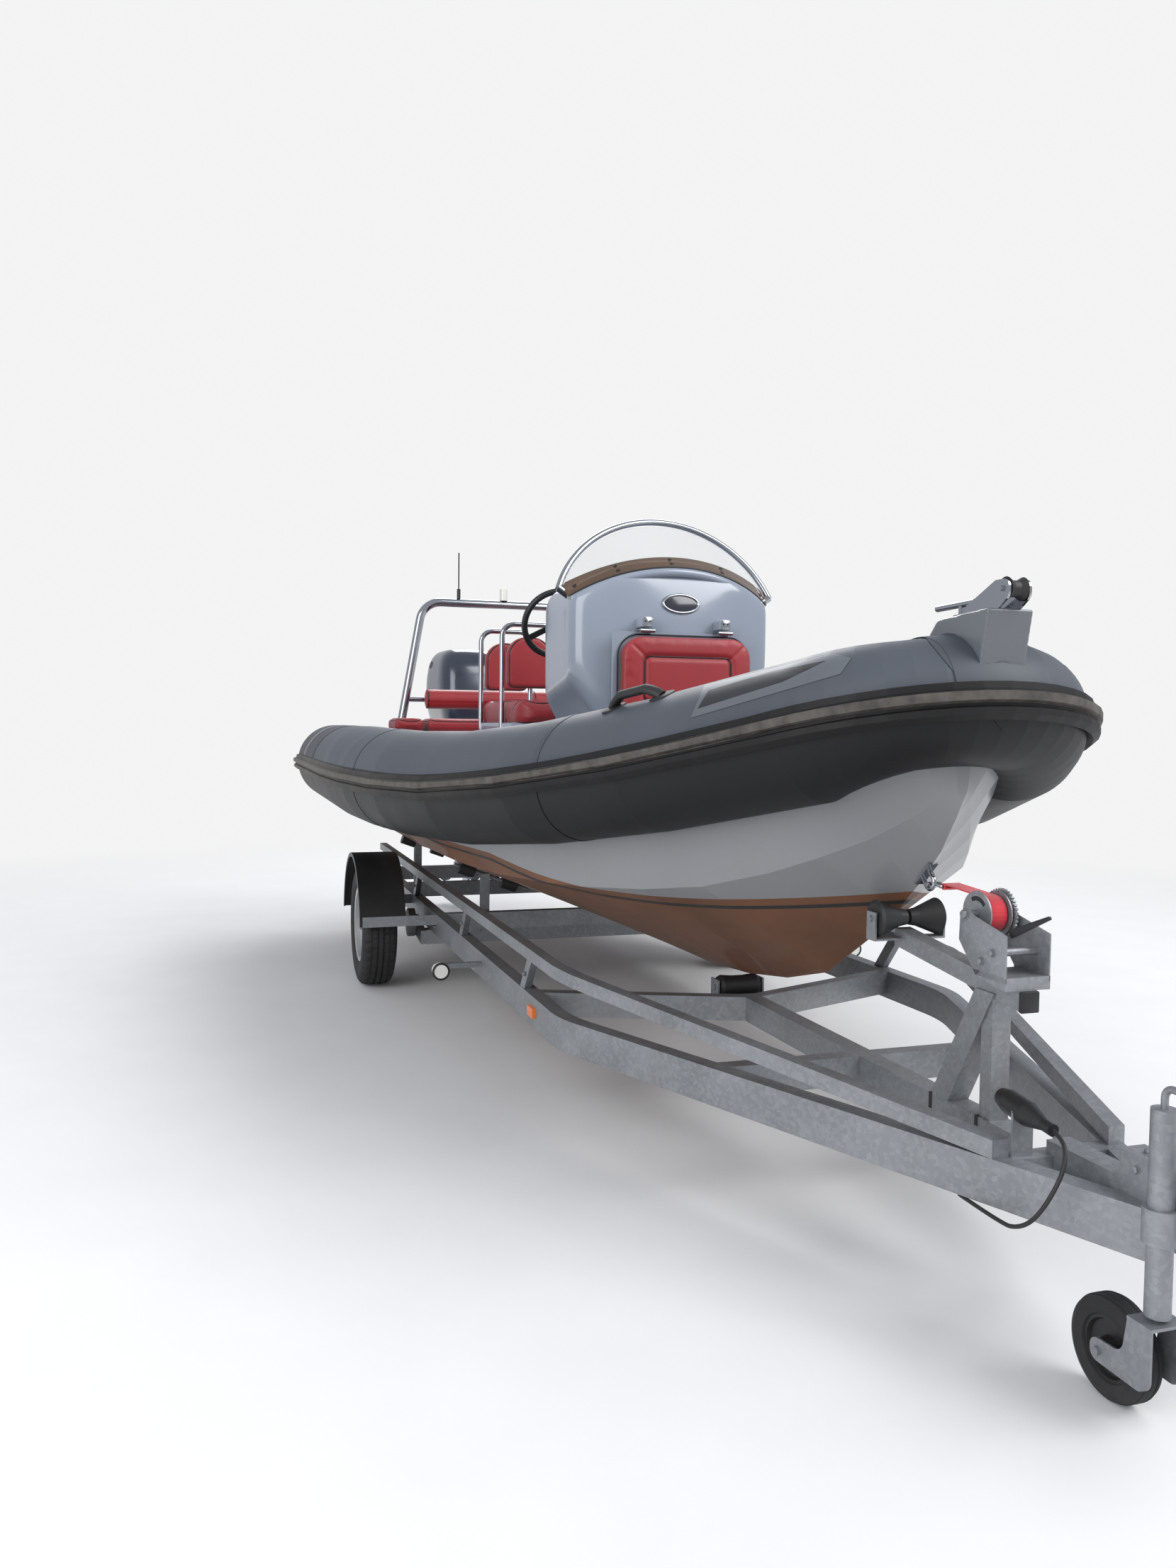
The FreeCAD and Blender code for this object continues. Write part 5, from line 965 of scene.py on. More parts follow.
class BOAT_OT_mouldings(bpy.types.Operator):
    """Console, seat bases, plinth and engine cowl with their edges rounded off"""
    bl_idname = "boat.mouldings"
    bl_label = "Mouldings"

    def execute(self, context):
        MADE["console"] = softened("Console", "console", 0.011, 70, "gelcoat", shape=behind_screen)
        softened("SeatBases", "seat_bases", 0.010, 5, "gelcoat")
        softened("BowPlinth", "bow_plinth", 0.004, 5, "plinth")
        MADE["cowl"] = softened("Cowl", "cowl", 0.014, 60, "engine", "engine", hull=True)
        return {"FINISHED"}


# cushions: corner radii, borders and seams
HATCH_CORNER = 0.085
HATCH_PANEL = (0.094, 0.086, 0.022)
HATCH_MITRE, HATCH_MITRE_CORNER = 0.008, 0.078
SEAT_BORDER = 0.022
SADDLE_HALF = 0.125
SADDLE_NOSE, SADDLE_BOW, SADDLE_REACH = 0.150, 0.045, 0.112
BACKREST_CORNERS = (0.106, 0.106, 0.035, 0.035)
BACKREST_SEAM_CORNERS = (0.092, 0.092, 0.025, 0.025)
BACKREST_BORDER = 0.016
BENCH_BORDER = 0.02
BENCH_SEAMS = (-0.34, 0.34)
ROLL_SEAMS = (-0.492, -0.17, 0.17, 0.492)


class BOAT_OT_upholstery(bpy.types.Operator):
    """Swells, stitches and pipes every cushion, saddle, backrest and the roll"""
    bl_idname = "boat.upholstery"
    bl_label = "Upholstery"

    def execute(self, context):
        self.hatch()
        self.forward_seat()
        self.saddles(context.scene.boat_sizes.saddle_panel / 2)
        self.backrests()
        self.bench()
        self.roll()
        return {"FINISHED"}

    def hatch(self):
        """Hatch cushion: a wide rolled border with mitred corners round an inset panel."""
        low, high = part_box("hatch_cushion")
        middle = Vector((high[0], 0, (low[2] + high[2]) / 2))
        half = Vector((0, (high[1] - low[1]) / 2, (high[2] - low[2]) / 2))
        cover = slab(rounded_loop(middle, Y, Z, half.y, half.z, HATCH_CORNER, 9), X * (low[0] - high[0]))
        pad = stuffed("HatchCushion", cover, "hatch", FLAT_BEHIND, puff=0.006, voxel=0.006)
        panel = (half.y - HATCH_PANEL[0], half.z - HATCH_PANEL[1], HATCH_PANEL[2])
        inner = rounded_loop(middle, Y, Z, *panel)
        corners = rounded_loop(middle, Y, Z, *panel, 2)[1::3]
        mitre = (half.y - HATCH_MITRE, half.z - HATCH_MITRE, HATCH_MITRE_CORNER)
        ends = rounded_loop(middle, Y, Z, *mitre, 2)[1::3]
        stitched(pad, [ring_seam(inner, 0.02)], X, depth=0.010, width=0.010)
        stitched(pad, [[first, last] for first, last in zip(corners, ends)], X, depth=0.005, width=0.005)
        finished_pad(pad, "hatch_cushion")
        welt("HatchPipingInner", pad, inner, X, "hatch")
        foot = middle - X * (high[0] - low[0] - 0.006)
        rim = rounded_loop(foot, Y, Z, half.y - 0.001, half.z - 0.001, HATCH_CORNER, 12)
        piping("HatchPipingOuter", rim, "hatch")

    def forward_seat(self):
        """Seat ahead of the console: a crowned top panel over a boxed side."""
        low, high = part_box("forward_cushion")
        solid = solids_of("forward_cushion")[0]
        pad = stuffed("ForwardCushion", solid, ROOT, FLAT_BELOW, puff=0.008, voxel=0.008)
        middle = Vector(((low[0] + high[0]) / 2, 0, high[2]))
        half = (high[0] - low[0]) / 2 - SEAT_BORDER, (high[1] - low[1]) / 2 - SEAT_BORDER
        rim = rounded_loop(middle, X, Y, *half, 0.05)
        stitched(pad, [ring_seam(rim, 0.03)], Z, depth=0.005, width=0.007)
        finished_pad(pad, "forward_cushion")
        welt("ForwardPiping", pad, rim, Z, lift=0.0015)

    def saddles(self, half_panel):
        """Saddles: a top panel between two long seams, with a cross seam before the nose."""
        solid = next(one for one in solids_of("saddles") if one[0][0].y > 0)
        low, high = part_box("saddles")
        pad = stuffed("SaddlePort", solid, ROOT, FLAT_BELOW, puff=0.007, voxel=0.008)
        offset = high[1] - SADDLE_HALF
        middle = Vector(((low[0] + high[0]) / 2, offset, high[2]))
        panel = rounded_loop(middle, X, Y, (high[0] - low[0]) / 2 - 0.05, half_panel, 0.06)
        cross = []
        for share in [step / 12 - 1 for step in range(25)]:
            ahead = high[0] - SADDLE_NOSE + SADDLE_BOW * (1 - share * share)
            cross.append(Vector((ahead, offset + SADDLE_REACH * share, high[2])))
        stitched(pad, [ring_seam(panel, 0.03), cross], Z, depth=0.006, width=0.007)
        finished_pad(pad, "saddles")
        lines = [welt("SaddleWeltPort", pad, panel, Z), welt("SaddleSeamPort", pad, cross, Z, cyclic=False)]
        twin(pad, "SaddleStarboard", node="saddles")
        for line in lines:
            twin(line, line.name.replace("Port", "Starboard"))

    def backrests(self):
        """Backrests: one pad in each hoop, piped round both faces."""
        low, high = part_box("backrests")
        solids = [one for one in solids_of("backrests") if one[0][0].y > 0]
        solids.sort(key=lambda one: one[0][0].x)
        back, front = span(solids[0])
        middle = Vector((front.x, (back.y + front.y) / 2, (low[2] + high[2]) / 2))
        half = (front.y - back.y) / 2, (high[2] - low[2]) / 2
        cover = slab(rounded_loop(middle, Y, Z, *half, BACKREST_CORNERS, 10), X * (back.x - front.x))
        first = stuffed("BackrestAftPort", cover, ROOT, FLAT_AHEAD, puff=0.005, voxel=0.006)
        inner = [size - BACKREST_BORDER for size in half]
        loop = rounded_loop(middle, Y, Z, *inner, BACKREST_SEAM_CORNERS, 8)
        for facing in (X, -X):
            stitched(first, [ring_seam(loop, 0.03)], facing, depth=0.004, width=0.006)
        finished_pad(first, "backrests", 0)
        lines = [welt(f"BackrestPiping{key}AftPort", first, loop, facing)
                 for key, facing in (("Face", X), ("Rear", -X))]
        step = X * (span(solids[1])[0].x - back.x)
        for name, shift, mirror in (("AftStarboard", Vector(), True), ("FrontPort", step, False),
                                    ("FrontStarboard", step, True)):
            twin(first, "Backrest" + name, shift, mirror, node="backrests")
            for line in lines:
                twin(line, line.name.replace("AftPort", name), shift, mirror)

    def bench(self):
        """Stern bench: one long cushion between two short ones."""
        solids = solids_of("bench_cushion")
        solids.sort(key=lambda one: span(one)[1].y - span(one)[0].y)
        port = next(one for one in solids[:2] if one[0][0].y > 0)
        for name, solid, voxel in (("BenchMiddle", solids[-1], 0.009), ("BenchPort", port, 0.007)):
            pad = stuffed(name, solid, ROOT, FLAT_BELOW, puff=0.007, voxel=voxel)
            low, high = span(solid)
            middle = Vector(((low.x + high.x) / 2, (low.y + high.y) / 2, high.z))
            half = (high.x - low.x) / 2 - BENCH_BORDER, (high.y - low.y) / 2 - BENCH_BORDER
            loop = rounded_loop(middle, X, Y, *half, 0.035)
            seams = [ring_seam(loop, 0.04)]
            if name == "BenchMiddle":
                for share in BENCH_SEAMS:
                    seams.append([middle + Vector((sign * half[0], share * half[1], 0)) for sign in (-1, 1)])
            stitched(pad, seams, Z, depth=0.005, width=0.007)
            finished_pad(pad, "bench_cushion")
            line = welt(name + "Piping", pad, loop, Z)
        twin(pad, "BenchStarboard", node="bench_cushion")
        twin(line, "BenchStarboardPiping")

    def roll(self):
        """Roll backrest on the arch, with piped ends and two seams."""
        low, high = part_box("bolster")
        pad = stuffed("RollBackrest", solids_of("bolster")[0], ROOT, FLAT_AHEAD, puff=0.004, voxel=0.007)
        centre = (Vector(low) + Vector(high)) / 2
        radius = (high[2] - low[2]) / 2
        finished_pad(pad, "bolster", 0)
        tree = skin(pad)
        for index, across in enumerate(ROLL_SEAMS):
            hug = []
            for point in ellipse(centre + Y * across, X, Z, radius, radius, 48):
                place = tree.find_nearest(point)[0]
                hug.append(Vector((place.x, across, place.z)))
            piping(f"RollPiping{index}", hug)


# collar: pixels of the photograph, then stations, sizes and profiles
CAP_PIXELS = ((1353, 957), (1301, 894))
PANEL_PIXELS = ((975, 1013), (1186, 951), (1201, 929), (1178, 922), (994, 967))
FLASH_PIXELS = ((985, 1000), (1105, 962), (1165, 933), (1090, 948), (1000, 975))
HANDLE_PIXELS = ((866, 975), (934, 958))
CAP_AFT, CAP_FROM = 3.0, 2.9
PLINTH_MARGIN, PLINTH_HALF = 0.055, 0.125
SEAM_STATIONS = (0.75, 2.35)
SEAM_HALF = 0.014
BOW_RADIUS = 7.598
HALF_BEAM = 1.2335
TUBE_RADIUS = 0.25
TUBE_HEIGHT = 1.1
STERN_BANDS = (("SternPatch", "stern_patch", 0.001, -1.799, -0.75),
               ("SternStrip", "pale_fabric", 0.002, -1.40, -1.27))
CONE_BANDS = (("ConeTip", "black_fabric", -2.3, -2.06), ("ConeBand", "pale_fabric", -1.862, -1.815))
VALVE_STATIONS = (-2.02, -1.92)
VALVE_PROFILE = ((-0.004, 0), (-0.004, 0.034), (0.004, 0.034), (0.007, 0.028), (0.007, 0.018), (0.010, 0.016),
                 (0.010, 0))
CONE_START = (1.02, 1.06)
CONE_LEAN = 0.35
HANDLE_RISE, HANDLE_STEPS = 0.030, 16
FOOT_PROFILE = ((-0.004, 0), (-0.004, 0.038), (0.003, 0.038), (0.006, 0.026), (0.006, 0))


class BOAT_OT_collar(bpy.types.Operator):
    """Seam tapes, bow cap, patches, handles and a plain graphic on the inflated collar"""
    bl_idname = "boat.collar"
    bl_label = "Collar"

    def execute(self, context):
        self.bow()
        self.seams()
        for sign, key in SIDES:
            self.graphic(key, sign)
            self.handle(key, sign)
            self.stern(key, sign)
        return {"FINISHED"}

    def bow(self):
        """The bow's cap of heavier cloth, and a patch round the plinth."""
        edge = sight_plane(*CAP_PIXELS)
        mirrored = tuple(sided(vector, -1) for vector in edge)
        patch("BowCap", "collar", [edge, mirrored, (at(CAP_AFT), -X)], "collar_patch", 0.001, 0.0012,
              lambda place, normal: place.z > COLLAR_HEIGHT and place.x > AXLE + CAP_FROM)
        low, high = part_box("bow_plinth")
        middle = X * ((low[0] + high[0]) / 2)
        along = X * ((high[0] - low[0]) / 2 + PLINTH_MARGIN)
        across = Y * PLINTH_HALF
        edges = [(middle + along, X), (middle - along, -X), (across, Y), (-across, -Y)]
        patch("PlinthSurround", "collar", edges, "collar_patch", 0.0022, 0.0012,
              lambda place, normal: normal.z > 0.2)

    def seams(self):
        """Tapes over the seams between the collar's chambers."""
        clear = 0.25
        for index, station in enumerate(SEAM_STATIONS):
            turn = math.asin(station / BOW_RADIUS)
            ridge = HALF_BEAM - BOW_RADIUS * (1 - math.cos(turn)) - TUBE_RADIUS
            for sign, key in reversed(SIDES):
                way = Vector((math.cos(turn), -math.sin(turn) * sign, 0))
                centre = at(station, sign * ridge, TUBE_HEIGHT)
                edges = [(centre + way * SEAM_HALF, way), (centre - way * SEAM_HALF, -way)]
                patch(f"SeamTape{key}{index}", "collar", edges, "collar_patch", 0.0008, 0.0008,
                      lambda place, normal: place.y * sign > clear)

    def graphic(self, key, sign):
        """A plain two-tone panel on the bow shoulder."""
        viewer = sided(EYE.translation, -sign)

        def facing(place, normal):
            """Whether a face on this side of the bow is turned to the camera or to its mirror image."""
            return place.y * sign > 0 and normal.dot(viewer - place) > 0 and place.x > 0.5

        for name, finish, lift, corners in (("GraphicPanel", "light_graphic", 0.001, PANEL_PIXELS),
                                            ("GraphicFlash", "dark_graphic", 0.0018, FLASH_PIXELS)):
            edges = [sight_plane(second, first) for first, second in zip(corners, corners[1:] + corners[:1])]
            planes = [tuple(sided(vector, -sign) for vector in edge) for edge in edges]
            patch(name + key, "collar", planes, finish, lift, 0.0006, facing)

    def handle(self, key, sign):
        """A moulded carrying handle with its two glued feet."""
        ends = [seen(pixel, NODES["collar"]) for pixel in HANDLE_PIXELS]
        (first, out), (last, out_last) = [[sided(vector, -sign) for vector in end] for end in ends]
        out = (out + out_last).normalized()
        path = []
        for step in range(HANDLE_STEPS + 1):
            share = step / HANDLE_STEPS
            lift = HANDLE_RISE * min(1.0, 4 * share, 4 * (1 - share)) ** 0.7
            path.append(first.lerp(last, share) + out * (lift + 0.002))
        swept("Handle" + key, path, 0.019, FINISHES["rubber"], ring=14, flat=0.7, up=out)
        for index, foot in enumerate((first, last)):
            turned(f"HandleFoot{key}{index}", FOOT_PROFILE, foot, out, FINISHES["rubber"], steps=32)

    def stern(self, key, sign):
        """Glued patches round the collar's after end; tip, band and valves on the end cone."""
        for name, finish, lift, after, fore in STERN_BANDS:
            planes = [(at(after), -X), (at(fore), X), (at(0, 0, COLLAR_HEIGHT + BLACK_BELOW), -Z)]
            patch(name + key, "collar", planes, finish, lift, 0.0008,
                  lambda place, normal: place.y * sign > 0)
        for name, finish, after, fore in CONE_BANDS:
            patch(name + key, "collar_cones", [(at(after), -X), (at(fore), X)], finish, 0.0015, 0.0012,
                  lambda place, normal: place.y * sign > 0 and normal.x < 0.9)
        for index, station in enumerate(VALVE_STATIONS):
            place, normal = self.cone_point(station, sign)
            turned(f"Valve{key}{index}", VALVE_PROFILE, place, normal, FINISHES["black_plastic"], steps=32)

    def cone_point(self, station, sign):
        """A place on an end cone's upper inboard shoulder."""
        across, height = CONE_START
        way = Vector((0, -sign * CONE_LEAN, 1)).normalized()
        place, normal = skin(NODES["collar_cones"]).ray_cast(at(station, sign * across, height), way)[:2]
        return place, normal if normal.dot(way) > 0 else -normal


# console fittings: the screen's studs as a share across and a height, then profiles and places
STUDS = ((-0.52, 0.022), (-0.52, 0.052), (-0.06, 0.022), (-0.06, 0.052), (0.42, 0.022), (0.42, 0.052),
         (-0.90, 0.03), (0.90, 0.03))
STUD_PROFILE = ((-0.006, 0), (-0.006, 0.006), (0.0025, 0.009), (0.0045, 0.007), (0.0055, 0))
SCREEN_STEPS, LIP_STEPS = 40, 48
LIP_DROP, LIP_BACK, LIP_RADIUS = -0.010, 0.016, 0.017
BADGE_VIEW = (2.2, 0, 1.764)
BADGE_SHAPE = 0.24
BADGE_FACE = 0.92
HINGE_ACROSS = 0.160
HINGE_INSET = 0.007
LEAF_STATION, LEAF_HEIGHT = 1.668, 1.684
BARREL_PROFILE = ((-0.029, 0), (-0.029, 0.0078), (0.029, 0.0078), (0.029, 0))
SCREW_PROFILE = ((0.001, 0), (0.001, 0.0042), (0.0030, 0.0038), (0.0038, 0.002), (0.0034, 0))


class BOAT_OT_console(bpy.types.Operator):
    """Screen with its tinted band and studs, blank badge and hinge leaves"""
    bl_idname = "boat.console"
    bl_label = "Console fittings"

    def execute(self, context):
        sizes = context.scene.boat_sizes
        self.screen(sizes.band)
        self.badge(sizes.badge_width)
        self.hinges()
        return {"FINISHED"}

    def screen(self, band):
        """The clear sheet over its tinted band, with its studs and seal, and the lip it stands on."""
        shares = [-1 + 2 * step / SCREEN_STEPS for step in range(SCREEN_STEPS + 1)]
        tops = [min(0.97, band / sheet_height(share)) for share in shares]
        for name, rows, finish in (("ScreenBand", 6, "bronze"), ("ScreenSheet", 10, "screen")):
            verts = []
            for row in range(rows + 1):
                for share, top in zip(shares, tops):
                    low, high = (0.0, top) if finish == "bronze" else (top, 1.0)
                    verts.append(sheet_point(share, low + (high - low) * row / rows))
            faces = []
            for a in range(0, rows * len(shares), len(shares)):
                b = a + len(shares)
                faces += [(a + s, a + s + 1, b + s + 1, b + s) for s in range(SCREEN_STEPS)]
            piece = new_object(name, shape_mesh(name, verts, faces), FINISHES[finish], ROOT, 60)
            thickened(piece, 0.005, 0)
            stand_in("wind_screen")
        for index, (share, height) in enumerate(STUDS):
            place = sheet_point(share, height / sheet_height(share))
            turned(f"ScreenStud{index}", STUD_PROFILE, place, sheet_normal(share), FINISHES["black_plastic"],
                   steps=20)
        shares = [-0.98 + 1.96 * step / LIP_STEPS for step in range(LIP_STEPS + 1)]
        swept("ScreenSeal", [sheet_point(share, 0.0) for share in shares], 0.004, FINISHES["rubber"])
        lip = [sheet_point(share, LIP_DROP / sheet_height(share)) - sheet_normal(share) * LIP_BACK
               for share in shares]
        swept("ScreenLip", lip, LIP_RADIUS, FINISHES["gelcoat"], ring=16)

    def badge(self, width):
        """A blank oval badge in a bright ring."""
        place, normal = skin(MADE["console"]).ray_cast(at(*BADGE_VIEW), -X)[:2]
        upward = Y.cross(-normal).normalized()
        upward = upward if upward.z > 0 else -upward
        half_wide, half_high = width / 2, width * BADGE_SHAPE
        face = ellipse(place - normal * 0.002, Y, upward, half_wide * BADGE_FACE, half_high * BADGE_FACE, 48)
        prism("BadgeFace", face, normal * 0.0065, FINISHES["badge"], bevel=0.0008)
        ring = ellipse(place + normal * 0.003, Y, upward, half_wide, half_high, 64)
        swept("BadgeRing", ring, 0.0055, FINISHES["stainless"], cyclic=True, ring=10)

    def hinges(self):
        """Bright leaves and screws over the hatch's hinges."""
        steel = FINISHES["stainless"]
        low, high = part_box("hatch_panel")
        for sign, key in SIDES:
            centre = Vector((high[0] - HINGE_INSET, sign * HINGE_ACROSS, high[2] - HINGE_INSET))
            turned(f"HingeBarrel{key}", BARREL_PROFILE, centre, Y, steel, "hatch", 24)
            place = at(LEAF_STATION, sign * HINGE_ACROSS, LEAF_HEIGHT)
            pad = rounded_loop(place, Y, Z, 0.024, 0.0195, (0.012, 0.012, 0.004, 0.004))
            prism(f"HingePad{key}", pad, X * -0.085, FINISHES["gelcoat"], bevel=0.003)
            leaf = rounded_loop(place, Y, Z, 0.019, 0.0185, (0.012, 0.012, 0.002, 0.002))
            prism(f"HingeLeaf{key}", leaf, X * 0.0025, steel, bevel=0.0008)
            for index, across in enumerate((-0.009, 0.009)):
                turned(f"HingeScrew{key}{index}", SCREW_PROFILE, place + Y * across + Z * 0.003, X,
                       FINISHES["black_plastic"], steps=16)


# engine trim
SLAT_DROP, SLAT_STEP, SLAT_HALF, SLAT_TAPER = 0.16, 0.030, 0.12, 0.01
COWL_BAND = (0.075, 0.050)
INTAKE_PIXEL = (608, 938)
INTAKE_HALF = (0.052, 0.028)


class BOAT_OT_engine_trim(bpy.types.Operator):
    """Slats, a band and intakes on the engine's cowl; the intakes are flat black ovals of painted shade for their
    recesses
    """
    bl_idname = "boat.engine_trim"
    bl_label = "Engine trim"

    def execute(self, context):
        black = FINISHES["black_plastic"]
        cowl = MADE["cowl"]
        low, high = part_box("cowl")
        back = low[0] + 0.008
        for index in range(4):
            height = high[2] - SLAT_DROP - index * SLAT_STEP
            half = SLAT_HALF - SLAT_TAPER * index
            outer_edge, inner_edge, foot = back - 0.006, back + 0.008, height - 0.012
            outline = [(inner_edge, -half, height), (inner_edge, half, height), (outer_edge, half - 0.01, foot),
                       (outer_edge, 0.01 - half, foot)]
            prism(f"IntakeSlat{index}", outline, (0, 0, 0.006), black, "engine", 0.001)
        middle = (low[0] + high[0]) / 2

        def outer(place, normal):
            """Whether a face is an upright one of the cowl's outer skin."""
            return abs(normal.z) < 0.7 and normal.dot(place - Vector((middle, 0, place.z))) > 0

        top, foot = [Z * (low[2] + height) for height in COWL_BAND]
        patch("CowlBand", cowl, [(top, Z), (foot, -Z)], "black_plastic", 0.0012, 0.0015, outer, "engine")
        # The intakes' recesses are drawn as flat black ovals on the skin: painted shade, not openings.
        place, normal = seen(INTAKE_PIXEL, cowl)
        for sign, key in SIDES:
            oval("IntakeMouth" + key, cowl, sided(place, -sign), sided(normal, -sign), *INTAKE_HALF, black,
                 "engine")
        return {"FINISHED"}


# wheels
NUT_CIRCLE, NUT_OUT, NUT_SIZE = 0.049, 0.040, 0.0105
CAP_PROFILE = ((0.030, 0), (0.030, 0.033), (0.046, 0.033), (0.062, 0.028), (0.070, 0.018), (0.072, 0))
RIB_PROFILE = ((0.010, 0.0985), (0.011, 0.0999), (0.014, 0.0997), (0.015, 0.0970))
PLAIN, SHOULDER, RIB, CENTRE = range(4)
TYRE_STEPS = 216


class BOAT_OT_wheels(bpy.types.Operator):
    """Treaded tyres, wheel nuts and hub caps"""
    bl_idname = "boat.wheels"
    bl_label = "Wheels"

    def execute(self, context):
        for sign, key in SIDES:
            self.wheel(sign, key, context.scene.boat_sizes.tread_depth)
        low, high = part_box("jockey_tyre")
        centre = (Vector(low) + Vector(high)) / 2
        for sign, key in SIDES:
            turned("JockeyRib" + key, RIB_PROFILE, centre, Y * sign, FINISHES["tyre"], "jockey_wheel", 64)
        return {"FINISHED"}

    def wheel(self, sign, key, depth):
        """A road wheel's tyre, nuts, hub cap and valve."""
        node = "tyre_" + key.lower()
        body = "road_wheel_" + key.lower()
        low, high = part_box(node)
        centre = (Vector(low) + Vector(high)) / 2
        radius = (high[2] - low[2]) / 2 - 0.0006
        tyre = self.tyre("Tyre" + key, centre, radius, (high[1] - low[1]) / 2, depth, body)
        stand_in(node)
        for index in range(4):
            turn = math.radians(45 + 90 * index)
            place = centre + spoke(NUT_CIRCLE, turn, sign * NUT_OUT)
            bolt(f"WheelNut{key}{index}", place, Y * sign, NUT_SIZE, FINISHES["stainless"], body)
        turned("HubCap" + key, CAP_PROFILE, centre, Y * sign, FINISHES["galvanised"], body)
        valve = centre + Vector((0.145, sign * NUT_OUT, 0.03))
        tip = valve + Vector((-0.004, sign * 0.025, 0))
        swept("Valve" + key, [valve, tip], 0.004, FINISHES["rubber"], body)

    def tyre(self, name, centre, radius, half, depth, body):
        """A road tyre: bead, sidewall with a raised band, shoulder blocks and ribs between grooves."""
        groove = radius - depth
        section = [(-0.066, 0.1655, PLAIN), (-0.064, 0.183, PLAIN), (-0.0745, 0.187, PLAIN),
                   (-0.0775, 0.196, PLAIN), (-0.0815, 0.214, PLAIN), (-half, 0.232, PLAIN),
                   (-half + 0.0005, 0.246, PLAIN), (-half, 0.250, PLAIN), (-0.0795, 0.262, PLAIN),
                   (-0.077, 0.272, SHOULDER), (-0.070, 0.283, SHOULDER), (-0.062, radius - 0.007, SHOULDER),
                   (-0.047, radius - 0.0035, SHOULDER), (-0.046, groove, PLAIN), (-0.039, groove, PLAIN),
                   (-0.038, radius - 0.002, RIB), (-0.018, radius - 0.0008, RIB), (-0.017, groove, PLAIN),
                   (-0.010, groove, PLAIN), (-0.009, radius, CENTRE)]
        section += [(-across, high, kind) for across, high, kind in section[::-1]]
        verts = []
        for step in range(TYRE_STEPS):
            phase = step % 6
            for across, high, kind in section:
                rib_phase = 3 if across < 0 else 0
                slit = kind == SHOULDER and phase in (0, 1) or kind == RIB and phase == rib_phase
                reach = high - (depth * 0.8 if slit else 0.0)
                lean = 0.35 if kind == CENTRE and phase % 3 == 0 else 0
                turn = 2 * math.pi * (step + lean) / TYRE_STEPS
                verts.append(centre + spoke(reach, turn, across))
        count = len(section)
        faces = []
        for step in range(TYRE_STEPS):
            a = step * count
            b = ((step + 1) % TYRE_STEPS) * count
            faces += [(a + i, a + i + 1, b + i + 1, b + i) for i in range(count - 1)]
        return new_object(name, shape_mesh(name, verts, faces), FINISHES["tyre"], body, 28)


# trailer: stations, heights, sizes and profiles
RAIL_MIDDLE = 0.690
RAIL_FACE = RAIL_MIDDLE + 0.0252
RAIL_END = -1.594
RAIL_CAP = (0.026, 0.289, 0.391)
CROSS_STATIONS = (0.33, -0.80, -1.56)
CROSS_HEIGHTS = (0.325, 0.372)
STRUT_STATIONS = (-1.33, -0.26, 0.95, 2.00)
STRUT_HEIGHT = 0.445
MARKER_PLACE = (1.418, 0.895, 0.346)
MARKER_PROFILE = ((0.012, 0.030), (0.012, 0.034), (0.018, 0.034), (0.020, 0.028), (0.018, 0.026))
DRUM = at(3.520, 0, 0.862)
DRUM_SIDE = 0.0605
PLATE_BOLTS = ((3.582, 0.764), (3.622, 0.790))
PLATE_BOLT_ACROSS = 0.061
PLATE_OUTLINE = ((3.560, 0.728), (3.668, 0.728), (3.668, 0.836), (3.548, 0.864), (3.534, 0.874),
                 (3.512, 0.876), (3.499, 0.864), (3.496, 0.800))
PLATE_ACROSS, PLATE_THICK = 0.056, 0.004
PLATE_SEAT = 0.7415
PAWL_PIXELS = ((1428, 1318), (1484, 1295))
PAWL_ACROSS = -0.040
SLOT_RADIUS, SLOT_ACROSS = 0.036, -0.0308
SLOT_TURNS = range(40, 121, 8)
ROD_PLACE = (3.622, 0, 0.790)
ROD_PROFILE = ((-0.062, 0), (-0.062, 0.009), (0.062, 0.009), (0.062, 0))
ARM_END, ARM_HEIGHT, ARM_HALF = 3.668, 0.688, 0.0245
TIE_STATIONS = (3.357, 3.539)
TIE_BOX = (0.031, 0.309, 0.391)
COUPLING_STATIONS = (4.035, 4.115)
GRIP_ENDS = ((4.172, 0, 0.500), (4.284, 0, 0.500))


